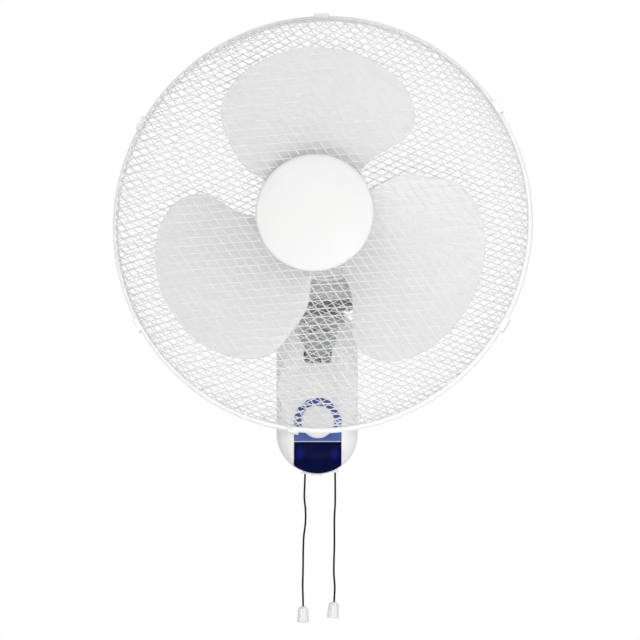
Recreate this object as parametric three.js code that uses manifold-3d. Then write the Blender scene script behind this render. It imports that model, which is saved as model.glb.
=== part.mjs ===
// A 16-inch wall fan with a swinging head, two pull cords and a rhombic mesh guard.
//
// Everything is modelled in front-view axes: X to the viewer's right, Y up, Z out from the
// wall towards the viewer. The outermost group turns these into the object's own frame,
// where the wall is the plane Y = 0, the fan faces -Y and Z is up. The origin is the middle
// of the wall plate's back face.

import * as THREE from 'three';
import { mergeVertices } from 'three/addons/utils/BufferGeometryUtils.js';
import Module from 'manifold-3d';

const wasm = await Module();
wasm.setup();

// ---------------------------------------------------------------------------------------
// Driving dimensions, in millimetres and degrees
// ---------------------------------------------------------------------------------------

const GAP = 0.3;                     // air between pieces that touch or seat on each other
const RUNNING = 0.3;                 // radial clearance of pins and shafts in their bores

// Wall plate and housing
const HOUSING_WIDTH = 86;
const HOUSING_HEIGHT = 182;
const HOUSING_DEPTH = 80;            // from the wall to the flat of the front face
const PLATE_SIDE_MARGIN = 12;        // the wall plate ends this far inside the housing's side
const PLATE_END_MARGIN = 21;         // and this far inside its ends
const PLATE_THICK = 1.6;
const WALL_SCREW_HOLE = 5.5;
const SHELL_SPLIT = 26;              // where the rear shell meets the front shell
const SHELL_WALL = 2.4;
const EDGE_WIDTH = 18;               // how far the rounded front edge reaches in
const EDGE_DEPTH = 20;               // and how far it reaches back
const SHELL_SCREW_SIDE = 12;         // the shell's screws lie this far inside its side
const SHELL_SCREW_END = 41;          // and this far inside its ends

// Control panel on the front of the housing
const PANEL_WIDTH = 50.3;
const PANEL_PROUD = 0.6;
const PANEL_RECESS = 1.2;
const PANEL_CENTRE_RISE = 56;        // arch and round boss, above the housing's lowest point
const PANEL_SPLIT_RISE = 35;         // line between upper panel and window, above it too
const PANEL_SPLIT_WIDTH = 0.9;
const PANEL_LIP = 1.2;               // white lip left under the window
const BOSS_DIAMETER = 34.6;
const BOSS_HEIGHT = 3.6;

// Tilt hinge
const HINGE_DROP = 46.5;             // hinge below the housing's highest point
const HINGE_INSET = 14;              // and behind the flat of its front
const HINGE_BOLT = 8;
const BARREL_RADIUS = 14;
const BARREL_WIDTH = 26;
const WASHER_THICK = 1.4;
const WASHER_RADIUS = 10;
const EAR_THICK = 2;
const REST_TILT = 8;                 // the head leans this far up at rest
const SLOT_WIDTH = 34;
const SLOT_BELOW = 24.5;             // the neck's slot reaches this far below the hinge
const SLOT_ABOVE = 25.5;             // and this far above it

// Neck and swivel
const PAN_REACH = 92;                // hinge to swivel axis, along the neck
const PAN_PIN = 9;
const BUSH_WALL = 2.2;
const BUSH_LOW = 16;
const SOCKET_TOP = 47;
const SOCKET_WALL = 3;
const BUSH_FLANGE = 1.5;
const REST_PAN = 7;                  // the head is turned this far to the viewer's left
const HEAD_RISE = 105;               // hinge to fan axis, across the neck
const RIM_REACH = 76;                // swivel axis to the plane of the guard's rim
const MOTOR_OFFSET = 12;             // fan axis to the right of the swivel axis

// Swing drive under the motor
const SWING_CAN_RADIUS = 22;
const SWING_CAN_HEIGHT = 16;
const SWING_BACK = 34;               // behind the swivel axis
const CRANK_RADIUS = 15.5;
const CRANK_THICK = 3;
const LINK_THICK = 2.5;
const LINK_PIN = 4;
const LINK_WIDTH = 6;
const LINK_BOW = 6.5;
const LINK_ANCHOR = 22;              // the neck's link peg, right of the swivel axis
const SWING_PLATE_THICK = 3;

// Motor, all measured back from the rim plane along the fan axis
const MOTOR_FRONT = 47.5;
const MOTOR_RADIUS = 44;
const FRONT_SHELL_LENGTH = 27;
const STATOR_LENGTH = 25;
const REAR_SHELL_LENGTH = 22;
const MOTOR_WALL = 2.5;
const SHAFT = 8;
const ROTOR_RADIUS = 22;
const NOSE_RADIUS = 20.4;
const COVER_RADIUS = 54;
const COVER_LENGTH = 88;
const COVER_WALL = 2.2;

// Guard
const GUARD_DIAMETER = 440;
const RIM_WIRE = 5;
const FRONT_DEPTH = 73;
const REAR_DEPTH = 43;
const DOME_POWER = 7;                // how square the front guard's shoulder is
const REAR_POWER = 4;
const MESH_WIRE = 1.5;
const FRONT_PITCH = 25.2;            // three times the pitch that the photograph shows
const REAR_PITCH = 26;               // four times, so that the rear guard stays light
const FRONT_ANGLES = [3, -56];
const REAR_ANGLES = [26, -22];
const LAYER_STEP = 2.8;              // one set of wires lies this far inside the other
const WIRE_INSET = 2;                // the wires end on the inner side of the rim
const CENTRE_RING_RADIUS = 50;
const CENTRE_RING_WIRE = 4;
const REAR_PLATE_RADIUS = 52;
const REAR_PLATE_THICK = 1.2;
const CLIP_ANGLES = [33, 90, 150, 208, 262, 330];
const LOCK_CLIP = 4;                 // the clip that carries the ring screw
const CLIP_WIDTH = 15;
const CLIP_THICK = 1.5;
const CAP_DIAMETER = 123;
const CAP_WALL = 2;
const CAP_DOME = 7;

// Fan blades
const BLADE_COUNT = 3;
const BLADE_TIP = 181;
const BLADE_THICK = 2.4;
const BLADE_LEAD = 34;               // rise of the blade along the axis, per radian
const BLADE_MIDDLE = 26;             // mid height of the blade at the hub
const BLADE_RAKE = 6;                // how much further forward the tip's middle lies
const BLADE_REST_ANGLE = 90;
const HUB_RADIUS = 26;
const HUB_BACK = 6;
const HUB_FRONT = 56;
const NUT_RADIUS = 15;
const NUT_LENGTH = 10;

// Pull cords
const CORD_DIAMETER = 2;
const CORD_INSET = 32;               // the cords hang this far behind the housing's front
const CORD_LEFT_X = -13;
const CORD_RIGHT_X = 19;
const PULL_RADIUS = 6.3;
const PULL_LENGTH = 17;
const SWITCH_RADIUS = 11;
const SWITCH_HEIGHT = 15;
const SWITCH_RISE = 21;              // switch bracket above the housing's lowest point

// ---------------------------------------------------------------------------------------
// Values that follow from the driving dimensions
// ---------------------------------------------------------------------------------------

const RADIANS = Math.PI / 180;
const HALF_WIDTH = HOUSING_WIDTH / 2;
const HALF_HEIGHT = HOUSING_HEIGHT / 2;
const ROUND_Y = HALF_HEIGHT - HALF_WIDTH;         // centre height of the round ends
const PLATE_HALF_WIDTH = HALF_WIDTH - PLATE_SIDE_MARGIN;
const PLATE_HALF_HEIGHT = HALF_HEIGHT - PLATE_END_MARGIN;
const SHELL_SCREW_X = HALF_WIDTH - SHELL_SCREW_SIDE;
const SHELL_SCREW_Y = HALF_HEIGHT - SHELL_SCREW_END;
const PANEL_CENTRE_Y = -HALF_HEIGHT + PANEL_CENTRE_RISE;
const PANEL_SPLIT_Y = -HALF_HEIGHT + PANEL_SPLIT_RISE;
const HINGE_UP = HALF_HEIGHT - HINGE_DROP;
const HINGE_OUT = HOUSING_DEPTH - HINGE_INSET;
const SLOT_LOW = HINGE_UP - SLOT_BELOW;
const SLOT_HIGH = HINGE_UP + SLOT_ABOVE;
const CORD_OUT = HOUSING_DEPTH - CORD_INSET;
const SWITCH_FLOOR = -HALF_HEIGHT + SWITCH_RISE;
const HOUSING_BACK = PLATE_THICK + GAP;
const FLOOR = HOUSING_BACK + SHELL_WALL + GAP;    // pieces inside the housing sit on this
const RIM_RADIUS = (GUARD_DIAMETER - RIM_WIRE) / 2;
const RIM_OFFSET = (RIM_WIRE + GAP) / 2;          // each rim ring off the rim plane
const PAN_BOSS_LOW = SOCKET_TOP + GAP + BUSH_FLANGE + GAP;
const BUSH_RADIUS = PAN_PIN / 2 + RUNNING + BUSH_WALL;
const SOCKET_RADIUS = BUSH_RADIUS + GAP + SOCKET_WALL;
const MOTOR_BOTTOM = HEAD_RISE - MOTOR_RADIUS;
const SWING_PLATE_LOW = PAN_BOSS_LOW + 4;
const SWING_CAN_LOW = SWING_PLATE_LOW - GAP - SWING_CAN_HEIGHT;
const CRANK_LOW = SWING_CAN_LOW - GAP - CRANK_THICK;
const LINK_LOW = CRANK_LOW - GAP - LINK_THICK;

// ---------------------------------------------------------------------------------------
// Materials
// ---------------------------------------------------------------------------------------

function finish(color, roughness, metalness = 0) {
  return new THREE.MeshStandardMaterial({ color, roughness, metalness });
}

const WHITE_PLASTIC = finish(0xf4f4f2, 0.42);
const BLADE_PLASTIC = finish(0xe9e9e9, 0.4);
const WHITE_WIRE = finish(0xf0f0f0, 0.35);
const BLUE_PLASTIC = finish(0x4b63a4, 0.35);
const NAVY_GLOSS = finish(0x13183d, 0.08);
const BLACK_PLASTIC = finish(0x1c1c1e, 0.5);
const GREY_PLASTIC = finish(0xb4b6b4, 0.5);
const STEEL = finish(0xb9bcc0, 0.32, 1);
const CAST_METAL = finish(0xa6a8aa, 0.5, 1);
const LAMINATION = finish(0x6c6a68, 0.45, 1);
const COPPER = finish(0xb06a3c, 0.35, 1);
const BRONZE = finish(0xa98654, 0.4, 1);
const BLACK_CORD = finish(0x141414, 0.8);

// ---------------------------------------------------------------------------------------
// Making and joining closed solids
// ---------------------------------------------------------------------------------------

function solid(geometry) {
  const bare = geometry.index ? geometry.toNonIndexed() : geometry.clone();
  bare.deleteAttribute('normal');
  bare.deleteAttribute('uv');
  const merged = mergeVertices(bare, 1e-4);
  const mesh = new wasm.Mesh({
    numProp: 3,
    vertProperties: new Float32Array(merged.attributes.position.array),
    triVerts: new Uint32Array(merged.index.array),
  });
  return new wasm.Manifold(mesh);
}

function geometryOf(body) {
  const mesh = body.getMesh();
  const geometry = new THREE.BufferGeometry();
  geometry.setAttribute('position', new THREE.BufferAttribute(mesh.vertProperties, 3));
  geometry.setIndex(new THREE.BufferAttribute(mesh.triVerts, 1));
  return geometry;
}

function joined(...bodies) {
  return bodies.reduce((whole, body) => whole.add(body));
}

function cut(body, ...tools) {
  return tools.reduce((rest, tool) => rest.subtract(tool), body);
}

function moved(geometry, x = 0, y = 0, z = 0) {
  return geometry.translate(x, y, z);
}

// A straight rod along Z, Y or X, from one end to the other along that axis.
function rodZ(radius, from, to, x = 0, y = 0, sides = 14) {
  const rod = new THREE.CylinderGeometry(radius, radius, to - from, sides);
  return solid(moved(rod.rotateX(Math.PI / 2), x, y, (from + to) / 2));
}

function rodY(radius, from, to, x = 0, z = 0, sides = 14) {
  const rod = new THREE.CylinderGeometry(radius, radius, to - from, sides);
  return solid(moved(rod, x, (from + to) / 2, z));
}

function rodX(radius, from, to, y = 0, z = 0, sides = 14) {
  const rod = new THREE.CylinderGeometry(radius, radius, to - from, sides);
  return solid(moved(rod.rotateZ(Math.PI / 2), (from + to) / 2, y, z));
}

function box(x0, x1, y0, y1, z0, z1) {
  const block = new THREE.BoxGeometry(x1 - x0, y1 - y0, z1 - z0);
  return solid(moved(block, (x0 + x1) / 2, (y0 + y1) / 2, (z0 + z1) / 2));
}

// A profile of [radius, height] pairs turned round the Z axis. It starts and ends on the
// axis, or closes on itself, and is turned counter-clockwise so that its faces point out.
function turned(profile, sides = 24) {
  const points = profile.map(([radius, height]) => new THREE.Vector2(radius, height));
  if (THREE.ShapeUtils.area(points) < 0) {
    points.reverse();
  }
  return solid(new THREE.LatheGeometry(points, sides).rotateX(Math.PI / 2));
}

function ringProfile(inner, outer, low, high) {
  return [[inner, low], [outer, low], [outer, high], [inner, high], [inner, low]];
}

function tubeZ(inner, outer, from, to, sides = 20) {
  return turned(ringProfile(inner, outer, from, to), sides);
}

// A flat shape with thickness, from z0 to z1.
function plate(shape, z0, z1, curveSegments = 10) {
  const options = { depth: z1 - z0, bevelEnabled: false, curveSegments };
  return solid(moved(new THREE.ExtrudeGeometry(shape, options), 0, 0, z0));
}

// Skins a row of loops that have as many points each. Every loop is convex, so its end is
// closed by a fan.
function loft(loops) {
  const count = loops[0].length;
  const positions = loops.flat().flatMap((point) => [point.x, point.y, point.z]);
  const faces = [];
  for (let row = 0; row < loops.length - 1; row += 1) {
    for (let i = 0; i < count; i += 1) {
      const next = (i + 1) % count;
      const a = row * count + i;
      const b = row * count + next;
      faces.push(a, b, b + count, a, b + count, a + count);
    }
  }
  const last = (loops.length - 1) * count;
  for (let i = 1; i < count - 1; i += 1) {
    faces.push(0, i + 1, i, last, last + i, last + i + 1);
  }
  const geometry = new THREE.BufferGeometry();
  geometry.setAttribute('position', new THREE.Float32BufferAttribute(positions, 3));
  geometry.setIndex(faces);
  return solid(geometry);
}

const fan = new THREE.Group();
fan.rotation.x = Math.PI / 2;

function piece(parent, name, body, material) {
  const mesh = new THREE.Mesh(geometryOf(body), material);
  mesh.name = name;
  parent.add(mesh);
  return mesh;
}

// ---------------------------------------------------------------------------------------
// Wall plate
// ---------------------------------------------------------------------------------------

const HOOK_X = 17;
const HOOK_DROP = 25.5;              // hooks below the housing's highest point
const HOOK_Y = HALF_HEIGHT - HOOK_DROP;
const HOOK_WIDTH = 12;
const HOOK_TAB = 3;                  // thickness of the hook's horizontal tab
const HOOK_LIP = 6;                  // how far the lip stands up behind the shell's back
const HOOK_LIP_THICK = 2;
const PLATE_CORNER = 8;
const HOLE_END_MARGIN = 12;
const HOLE_SIDE_MARGIN = 11;
const HOLE_RISE = 8;                 // the lower holes lie this much nearer the middle
const MIDDLE_HOLE_Y = 20;

function roundedRectangle(halfWidth, halfHeight, corner) {
  const shape = new THREE.Shape();
  shape.moveTo(halfWidth, -halfHeight + corner);
  shape.absarc(halfWidth - corner, halfHeight - corner, corner, 0, Math.PI / 2);
  shape.absarc(-halfWidth + corner, halfHeight - corner, corner, Math.PI / 2, Math.PI);
  shape.absarc(-halfWidth + corner, -halfHeight + corner, corner, Math.PI, 1.5 * Math.PI);
  shape.absarc(halfWidth - corner, -halfHeight + corner, corner, 1.5 * Math.PI, 2 * Math.PI);
  return shape;
}

function wallHook(side) {
  const x0 = side * HOOK_X - HOOK_WIDTH / 2;
  const x1 = side * HOOK_X + HOOK_WIDTH / 2;
  const front = FLOOR + HOOK_LIP_THICK;
  const tab = box(x0, x1, HOOK_Y, HOOK_Y + HOOK_TAB, PLATE_THICK / 2, front);
  const rise = box(x0, x1, HOOK_Y, HOOK_Y + HOOK_TAB + HOOK_LIP, FLOOR, front);
  return joined(tab, rise);
}

function wallPlate() {
  const outline = roundedRectangle(PLATE_HALF_WIDTH, PLATE_HALF_HEIGHT, PLATE_CORNER);
  const high = PLATE_HALF_HEIGHT - HOLE_END_MARGIN;
  const low = -PLATE_HALF_HEIGHT + HOLE_END_MARGIN + HOLE_RISE;
  const aside = PLATE_HALF_WIDTH - HOLE_SIDE_MARGIN;
  const holes = [
    [0, high], [-aside, low], [aside, low], [-aside, MIDDLE_HOLE_Y], [aside, MIDDLE_HOLE_Y],
  ];
  const body = joined(plate(outline, 0, PLATE_THICK, 2), wallHook(-1), wallHook(1));
  return cut(body, ...holes.map(([x, y]) => rodZ(WALL_SCREW_HOLE / 2, -1, 3, x, y, 8)));
}

piece(fan, 'wall_plate', wallPlate(), STEEL);

// ---------------------------------------------------------------------------------------
// Housing: rear shell, front shell and their screws
// ---------------------------------------------------------------------------------------

const END_STEPS = 9;                 // facets of each round end
const EDGE_STEPS = 3;                // facets across the rounded front edge

// One level of the housing: straight sides and round ends.
function oblong(halfWidth, z) {
  const loop = [];
  for (let i = 0; i <= END_STEPS; i += 1) {
    const angle = Math.PI * i / END_STEPS;
    const x = halfWidth * Math.cos(angle);
    loop.push(new THREE.Vector3(x, ROUND_Y + halfWidth * Math.sin(angle), z));
  }
  for (let i = 0; i <= END_STEPS; i += 1) {
    const angle = Math.PI * (1 + i / END_STEPS);
    const x = halfWidth * Math.cos(angle);
    loop.push(new THREE.Vector3(x, -ROUND_Y + halfWidth * Math.sin(angle), z));
  }
  return loop;
}

// The housing's outer form, grown by an offset, from a depth up to its rounded front.
function housingForm(offset, from) {
  const loops = [oblong(HALF_WIDTH + offset, from)];
  for (let i = 0; i <= EDGE_STEPS; i += 1) {
    const turn = (Math.PI / 2) * (i / EDGE_STEPS);
    const inset = (EDGE_WIDTH + offset) * (1 - Math.cos(turn));
    const z = HOUSING_DEPTH - EDGE_DEPTH + (EDGE_DEPTH + offset) * Math.sin(turn);
    loops.push(oblong(HALF_WIDTH + offset - inset, z));
  }
  return loft(loops);
}

function housingPrism(offset, from, to) {
  return loft([oblong(HALF_WIDTH + offset, from), oblong(HALF_WIDTH + offset, to)]);
}

const SHELL_SCREWS = [-1, 1].map((side) => [side * SHELL_SCREW_X, -SHELL_SCREW_Y]);
const SHELL_PEGS = [-1, 1].map((side) => [side * SHELL_SCREW_X, SHELL_SCREW_Y]);
const SHELL_POSTS = [...SHELL_SCREWS, ...SHELL_PEGS];
const PEG_RADIUS = 1.9;
const PEG_LENGTH = 8;
const SCREW_SHANK = 1.7;
const SCREW_HEAD = 3.6;
const SCREW_HEAD_HEIGHT = 2.2;
const SCREW_LENGTH = 20;
const WELL_DEPTH = 22;

const BRACKET_HALF_WIDTH = 26;
const BRACKET_HALF_HEIGHT = 19;
const BRACKET_RISE = 1.5;            // the base plate ends this far over the hinge
const BRACKET_SCREW_X = 21.5;
const BRACKET_SCREW_LENGTH = 4.2;
const BRACKET_SCREWS = [-1, 1].map((side) => [side * BRACKET_SCREW_X, HINGE_UP - 12]);

const GROMMET_OUT = 13;              // distance of the mains grommet from the wall
const GROMMET_HOLE = 4;

function rearShell() {
  const outer = housingPrism(0, HOUSING_BACK, SHELL_SPLIT);
  const inner = housingPrism(-SHELL_WALL, HOUSING_BACK + SHELL_WALL, SHELL_SPLIT + 1);
  const posts = SHELL_POSTS.map(([x, y]) => rodZ(6, HOUSING_BACK, SHELL_SPLIT, x, y, 12));
  const pegs = SHELL_PEGS.map(([x, y]) => (
    rodZ(PEG_RADIUS, SHELL_SPLIT - 1, SHELL_SPLIT + PEG_LENGTH, x, y, 10)
  ));
  const shell = joined(cut(outer, inner), ...posts).intersect(outer);
  const wells = SHELL_SCREWS.map(([x, y]) => rodZ(4.2, 0, WELL_DEPTH, x, y, 10));
  const holes = SHELL_SCREWS.map(([x, y]) => (
    rodZ(SCREW_SHANK + GAP, 0, SHELL_SPLIT + 1, x, y, 10)
  ));
  const anchors = BRACKET_SCREWS.map(([x, y]) => (
    rodZ(SCREW_SHANK + GAP, 0, HOUSING_BACK + SHELL_WALL + 1, x, y, 10)
  ));
  const hookSlots = [-1, 1].map((side) => box(
    side * HOOK_X - HOOK_WIDTH / 2 - 1,
    side * HOOK_X + HOOK_WIDTH / 2 + 1,
    HOOK_Y - HOOK_LIP - 1,
    HOOK_Y + HOOK_TAB + GAP,
    0,
    HOUSING_BACK + SHELL_WALL + 1,
  ));
  const mains = rodY(GROMMET_HOLE + GAP, -HALF_HEIGHT - 1, -HALF_HEIGHT + 6, 0, GROMMET_OUT, 16);
  const open = cut(shell, ...wells, ...holes, ...anchors, ...hookSlots, mains);
  return joined(open, ...pegs);
}

piece(fan, 'rear_shell', rearShell(), WHITE_PLASTIC);

// The panel's outline: an arch above, straight sides, and a foot that follows the
// housing's round end.
function panelOutline(grow) {
  const half = PANEL_WIDTH / 2 + grow;
  const foot = HALF_WIDTH - PANEL_LIP + grow;
  const meet = Math.asin(half / foot);
  const shape = new THREE.Shape();
  shape.absarc(0, PANEL_CENTRE_Y, half, 0, Math.PI);
  shape.absarc(0, -ROUND_Y, foot, 1.5 * Math.PI - meet, 1.5 * Math.PI + meet);
  return shape;
}

function panelPrism(grow) {
  return plate(panelOutline(grow), HOUSING_DEPTH - EDGE_DEPTH - 2, HOUSING_DEPTH + 5, 12);
}

function cordHole(x, radius) {
  return rodY(radius, -HALF_HEIGHT - 3, -HALF_HEIGHT + 16, x, CORD_OUT, 16);
}

// Height of the housing's underside at a distance from its middle.
function undersideAt(x) {
  return -ROUND_Y - Math.sqrt(HALF_WIDTH ** 2 - x ** 2);
}

const BUSH_BORE = 1.6;
const GLAND_RADIUS = 3;
const GLAND_FLANGE = 4.4;
const SPOT_RADIUS = 5.2;
const SPOT_DEPTH = 1.4;

// The flat on the underside that a cord bush seats on.
function spotFace(x) {
  return undersideAt(Math.abs(x) - SPOT_RADIUS) + SPOT_DEPTH;
}

function frontShell() {
  const from = SHELL_SPLIT + GAP;
  const outer = housingForm(0, from);
  const inner = housingForm(-SHELL_WALL, from - 1);
  const posts = SHELL_POSTS.map(([x, y]) => rodZ(4.5, from, HOUSING_DEPTH, x, y, 10));
  const body = joined(cut(outer, inner), ...posts.map((post) => post.intersect(outer)));
  const slot = roundedRectangle(SLOT_WIDTH / 2, (SLOT_HIGH - SLOT_LOW) / 2, 10);
  const slotTool = plate(slot, HOUSING_DEPTH - EDGE_DEPTH, HOUSING_DEPTH + 3, 4)
    .translate([0, (SLOT_HIGH + SLOT_LOW) / 2, 0]);
  const recess = cut(panelPrism(GAP), housingForm(-PANEL_RECESS, 0));
  const pilots = SHELL_POSTS.map(([x, y]) => (
    rodZ(PEG_RADIUS + GAP, from - 1, WELL_DEPTH + SCREW_LENGTH + 2, x, y, 10)
  ));
  const cordHoles = [CORD_LEFT_X, CORD_RIGHT_X].flatMap((x) => [
    cordHole(x, GLAND_RADIUS + GAP),
    rodY(SPOT_RADIUS, -HALF_HEIGHT - 4, spotFace(x), x, CORD_OUT, 18),
  ]);
  return cut(body, slotTool, recess, ...pilots, ...cordHoles);
}

piece(fan, 'front_shell', frontShell(), WHITE_PLASTIC);

SHELL_SCREWS.forEach(([x, y], index) => {
  const under = WELL_DEPTH - GAP;
  const head = rodZ(SCREW_HEAD, under - SCREW_HEAD_HEIGHT, under, x, y, 10);
  const shank = rodZ(SCREW_SHANK, under - 1, under + SCREW_LENGTH, x, y, 10);
  piece(fan, `shell_screw_${index + 1}`, joined(head, shank), STEEL);
});

function mainsGrommet() {
  const low = -HALF_HEIGHT - 1.5;
  const flange = [[2.6, low], [6, low], [6, low + 1.2], [GROMMET_HOLE, low + 1.2]];
  const rest = [[GROMMET_HOLE, low + 5.5], [2.6, low + 5.5], [2.6, low]];
  return turned([...flange, ...rest], 12);
}

const grommet = piece(fan, 'mains_grommet', mainsGrommet(), BLACK_PLASTIC);
grommet.rotation.x = -Math.PI / 2;
grommet.position.z = GROMMET_OUT;

// ---------------------------------------------------------------------------------------
// Control panel: blue upper panel, dark window and round boss
// ---------------------------------------------------------------------------------------

function panelSkin() {
  const skin = panelPrism(0).intersect(housingForm(PANEL_PROUD, 0));
  return cut(skin, housingForm(-PANEL_RECESS + GAP, 0));
}

function upperPanel() {
  const low = PANEL_SPLIT_Y + PANEL_SPLIT_WIDTH / 2;
  const below = box(-50, 50, -HALF_HEIGHT - 5, low, 0, HOUSING_DEPTH + 10);
  const seat = rodZ(BOSS_DIAMETER / 2 + GAP, 0, HOUSING_DEPTH + 10, 0, PANEL_CENTRE_Y, 32);
  return cut(panelSkin(), below, seat);
}

function lowerWindow() {
  const high = PANEL_SPLIT_Y - PANEL_SPLIT_WIDTH / 2;
  return cut(panelSkin(), box(-50, 50, high, 40, 0, HOUSING_DEPTH + 10));
}

function panelBoss() {
  const radius = BOSS_DIAMETER / 2;
  const low = HOUSING_DEPTH - PANEL_RECESS + GAP;
  const high = HOUSING_DEPTH + PANEL_PROUD + BOSS_HEIGHT;
  const profile = [
    [0, low], [radius, low], [radius, high - 1.6], [radius - 0.6, high - 0.7],
    [radius - 1.8, high - 0.2], [radius / 2, high], [0, high],
  ];
  return turned(profile, 28);
}

piece(fan, 'control_panel', upperPanel(), BLUE_PLASTIC);
piece(fan, 'panel_window', lowerWindow(), NAVY_GLOSS);
piece(fan, 'panel_boss', panelBoss(), WHITE_PLASTIC).position.y = PANEL_CENTRE_Y;

// ---------------------------------------------------------------------------------------
// Inside the housing: switches, capacitor, terminal block
// ---------------------------------------------------------------------------------------

const SWITCH_SHELF = 1.2;
const SHELF_LEFT = 14;               // the shelf reaches this far past the left switch
const SHELF_RIGHT = 10;
const SHELF_FRONT = 9;
const SHELF_UPRIGHT = 14;
const NIPPLE_RADIUS = 3.5;
const NIPPLE_LENGTH = 5;
const CAPACITOR_WIDTH = 38;
const CAPACITOR_DEPTH = 19;
const CAPACITOR_HEIGHT = 15;
const CAPACITOR_CORNER = 2.5;
const CAPACITOR_GAP = 10;            // below the base of the tilt bracket
const TERMINAL_Y = -25;

function switchBody() {
  const nipple = SWITCH_FLOOR - SWITCH_SHELF - NIPPLE_LENGTH;
  const can = rodY(SWITCH_RADIUS, SWITCH_FLOOR + GAP, SWITCH_FLOOR + SWITCH_HEIGHT);
  const neck = rodY(NIPPLE_RADIUS, nipple, SWITCH_FLOOR + 1, 0, 0, 14);
  const bore = rodY(BUSH_BORE, nipple - 1, nipple + 7, 0, 0, 10);
  const tags = [-5, 0, 5].map((x) => box(x - 1.5, x + 1.5,
    SWITCH_FLOOR + SWITCH_HEIGHT - 1, SWITCH_FLOOR + SWITCH_HEIGHT + 6, -0.5, 0.5));
  return cut(joined(can, neck, ...tags), bore);
}

function switchShelf() {
  const low = SWITCH_FLOOR - SWITCH_SHELF;
  const left = CORD_LEFT_X - SHELF_LEFT;
  const right = CORD_RIGHT_X + SHELF_RIGHT;
  const high = SWITCH_FLOOR + SHELF_UPRIGHT;
  const shelf = box(left, right, low, SWITCH_FLOOR, FLOOR, CORD_OUT + SHELF_FRONT);
  const upright = box(left, right, low, high, FLOOR, FLOOR + SWITCH_SHELF);
  const holes = [CORD_LEFT_X, CORD_RIGHT_X].map((x) => (
    rodY(NIPPLE_RADIUS + GAP, low - 1, SWITCH_FLOOR + 1, x, CORD_OUT, 14)
  ));
  return cut(joined(shelf, upright), ...holes);
}

piece(fan, 'switch_bracket', switchShelf(), STEEL);
piece(fan, 'speed_switch', switchBody(), GREY_PLASTIC).position.set(CORD_LEFT_X, 0, CORD_OUT);
piece(fan, 'swing_switch', switchBody(), GREY_PLASTIC).position.set(CORD_RIGHT_X, 0, CORD_OUT);

function capacitor() {
  const outline = roundedRectangle(CAPACITOR_WIDTH / 2, CAPACITOR_DEPTH / 2, CAPACITOR_CORNER);
  return plate(outline, FLOOR, FLOOR + CAPACITOR_HEIGHT, 2);
}

function terminalBlock() {
  const blocks = box(-18, 18, -5, 5, FLOOR, FLOOR + 11);
  const ways = [-13.5, -4.5, 4.5, 13.5];
  const wells = ways.map((x) => rodZ(2, FLOOR + 5, FLOOR + 12, x, 0, 8));
  return cut(blocks, ...wells);
}

const CAPACITOR_TOP = HINGE_UP - BRACKET_HALF_HEIGHT - CAPACITOR_GAP;
piece(fan, 'capacitor', capacitor(), BLACK_PLASTIC)
  .position.y = CAPACITOR_TOP - CAPACITOR_DEPTH / 2;
piece(fan, 'terminal_block', terminalBlock(), WHITE_PLASTIC).position.y = TERMINAL_Y;

// ---------------------------------------------------------------------------------------
// Cord bushes, pull cords and pulls
// ---------------------------------------------------------------------------------------

function cordBush(x) {
  const seat = spotFace(x);
  const profile = [
    [BUSH_BORE, seat - 1.8], [GLAND_FLANGE - 0.6, seat - 1.8], [GLAND_FLANGE, seat - 1.2],
    [GLAND_FLANGE, seat - GAP], [GLAND_RADIUS, seat - GAP], [GLAND_RADIUS, seat + 5],
    [BUSH_BORE, seat + 5], [BUSH_BORE, seat - 1.8],
  ];
  return turned(profile, 12);
}

// Where the two cords hang, top to bottom, as [x, height] from the cord's own top end. The
// right cord is a little straighter and shorter.
const CORD_TOP = -HALF_HEIGHT + 14;
const LEFT_ROUTE = [
  [0, 0], [0, -6], [0, -15], [-0.4, -27], [-0.7, -39], [0.5, -52], [0.4, -66],
  [-1.2, -79], [-1.8, -91], [-2, -105], [-2.2, -120], [-2.5, -132], [-2.2, -144],
  [-2, -155], [-2, -160],
];
const RIGHT_ROUTE = [
  [0, 0], [0, -6], [0, -15], [0.1, -29], [0, -46], [-0.7, -59], [-0.8, -72],
  [-0.8, -90], [-1.2, -105], [-1.3, -120], [-0.4, -134], [-0.8, -144], [-1.1, -150],
  [-1.6, -155],
];

function cordSolid(route) {
  const points = route.map(([x, y]) => new THREE.Vector3(x, y, 0));
  const path = new THREE.CatmullRomCurve3(points, false, 'centripetal');
  const section = new THREE.Shape();
  section.absarc(0, 0, CORD_DIAMETER / 2, 0, 2 * Math.PI);
  const options = { steps: 26, curveSegments: 4, bevelEnabled: false, extrudePath: path };
  return solid(new THREE.ExtrudeGeometry(section, options));
}

const PULL_HOLE = CORD_DIAMETER / 2 + GAP + 0.1;
const PULL_WALL = 1.3;

// A thimble: round shoulder, slightly flared skirt, open underneath.
function pullThimble() {
  const foot = -PULL_LENGTH;
  const waist = PULL_RADIUS - 0.7;
  const profile = [
    [PULL_HOLE, 0], [2.6, 0], [waist - 1.4, -1], [waist - 0.3, -2.6], [waist, -5],
    [PULL_RADIUS, foot + 1.5], [PULL_RADIUS, foot], [PULL_RADIUS - PULL_WALL, foot],
    [waist - PULL_WALL, -5], [waist - PULL_WALL - 0.6, -3.2], [PULL_HOLE, -2.2],
    [PULL_HOLE, 0],
  ];
  return turned(profile, 12);
}

function pullCord(side, x, route, topOfPull, lean) {
  const bush = piece(fan, `cord_bush_${side}`, cordBush(x), BLACK_PLASTIC);
  bush.rotation.x = -Math.PI / 2;
  bush.position.set(x, 0, CORD_OUT);
  const cord = piece(fan, `pull_cord_${side}`, cordSolid(route), BLACK_CORD);
  cord.position.set(x, CORD_TOP, CORD_OUT);
  const pull = piece(fan, `pull_${side}`, pullThimble(), WHITE_PLASTIC);
  pull.rotation.set(-Math.PI / 2, lean * RADIANS, 0);
  pull.position.set(x + topOfPull[0], CORD_TOP + topOfPull[1], CORD_OUT);
}

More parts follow.
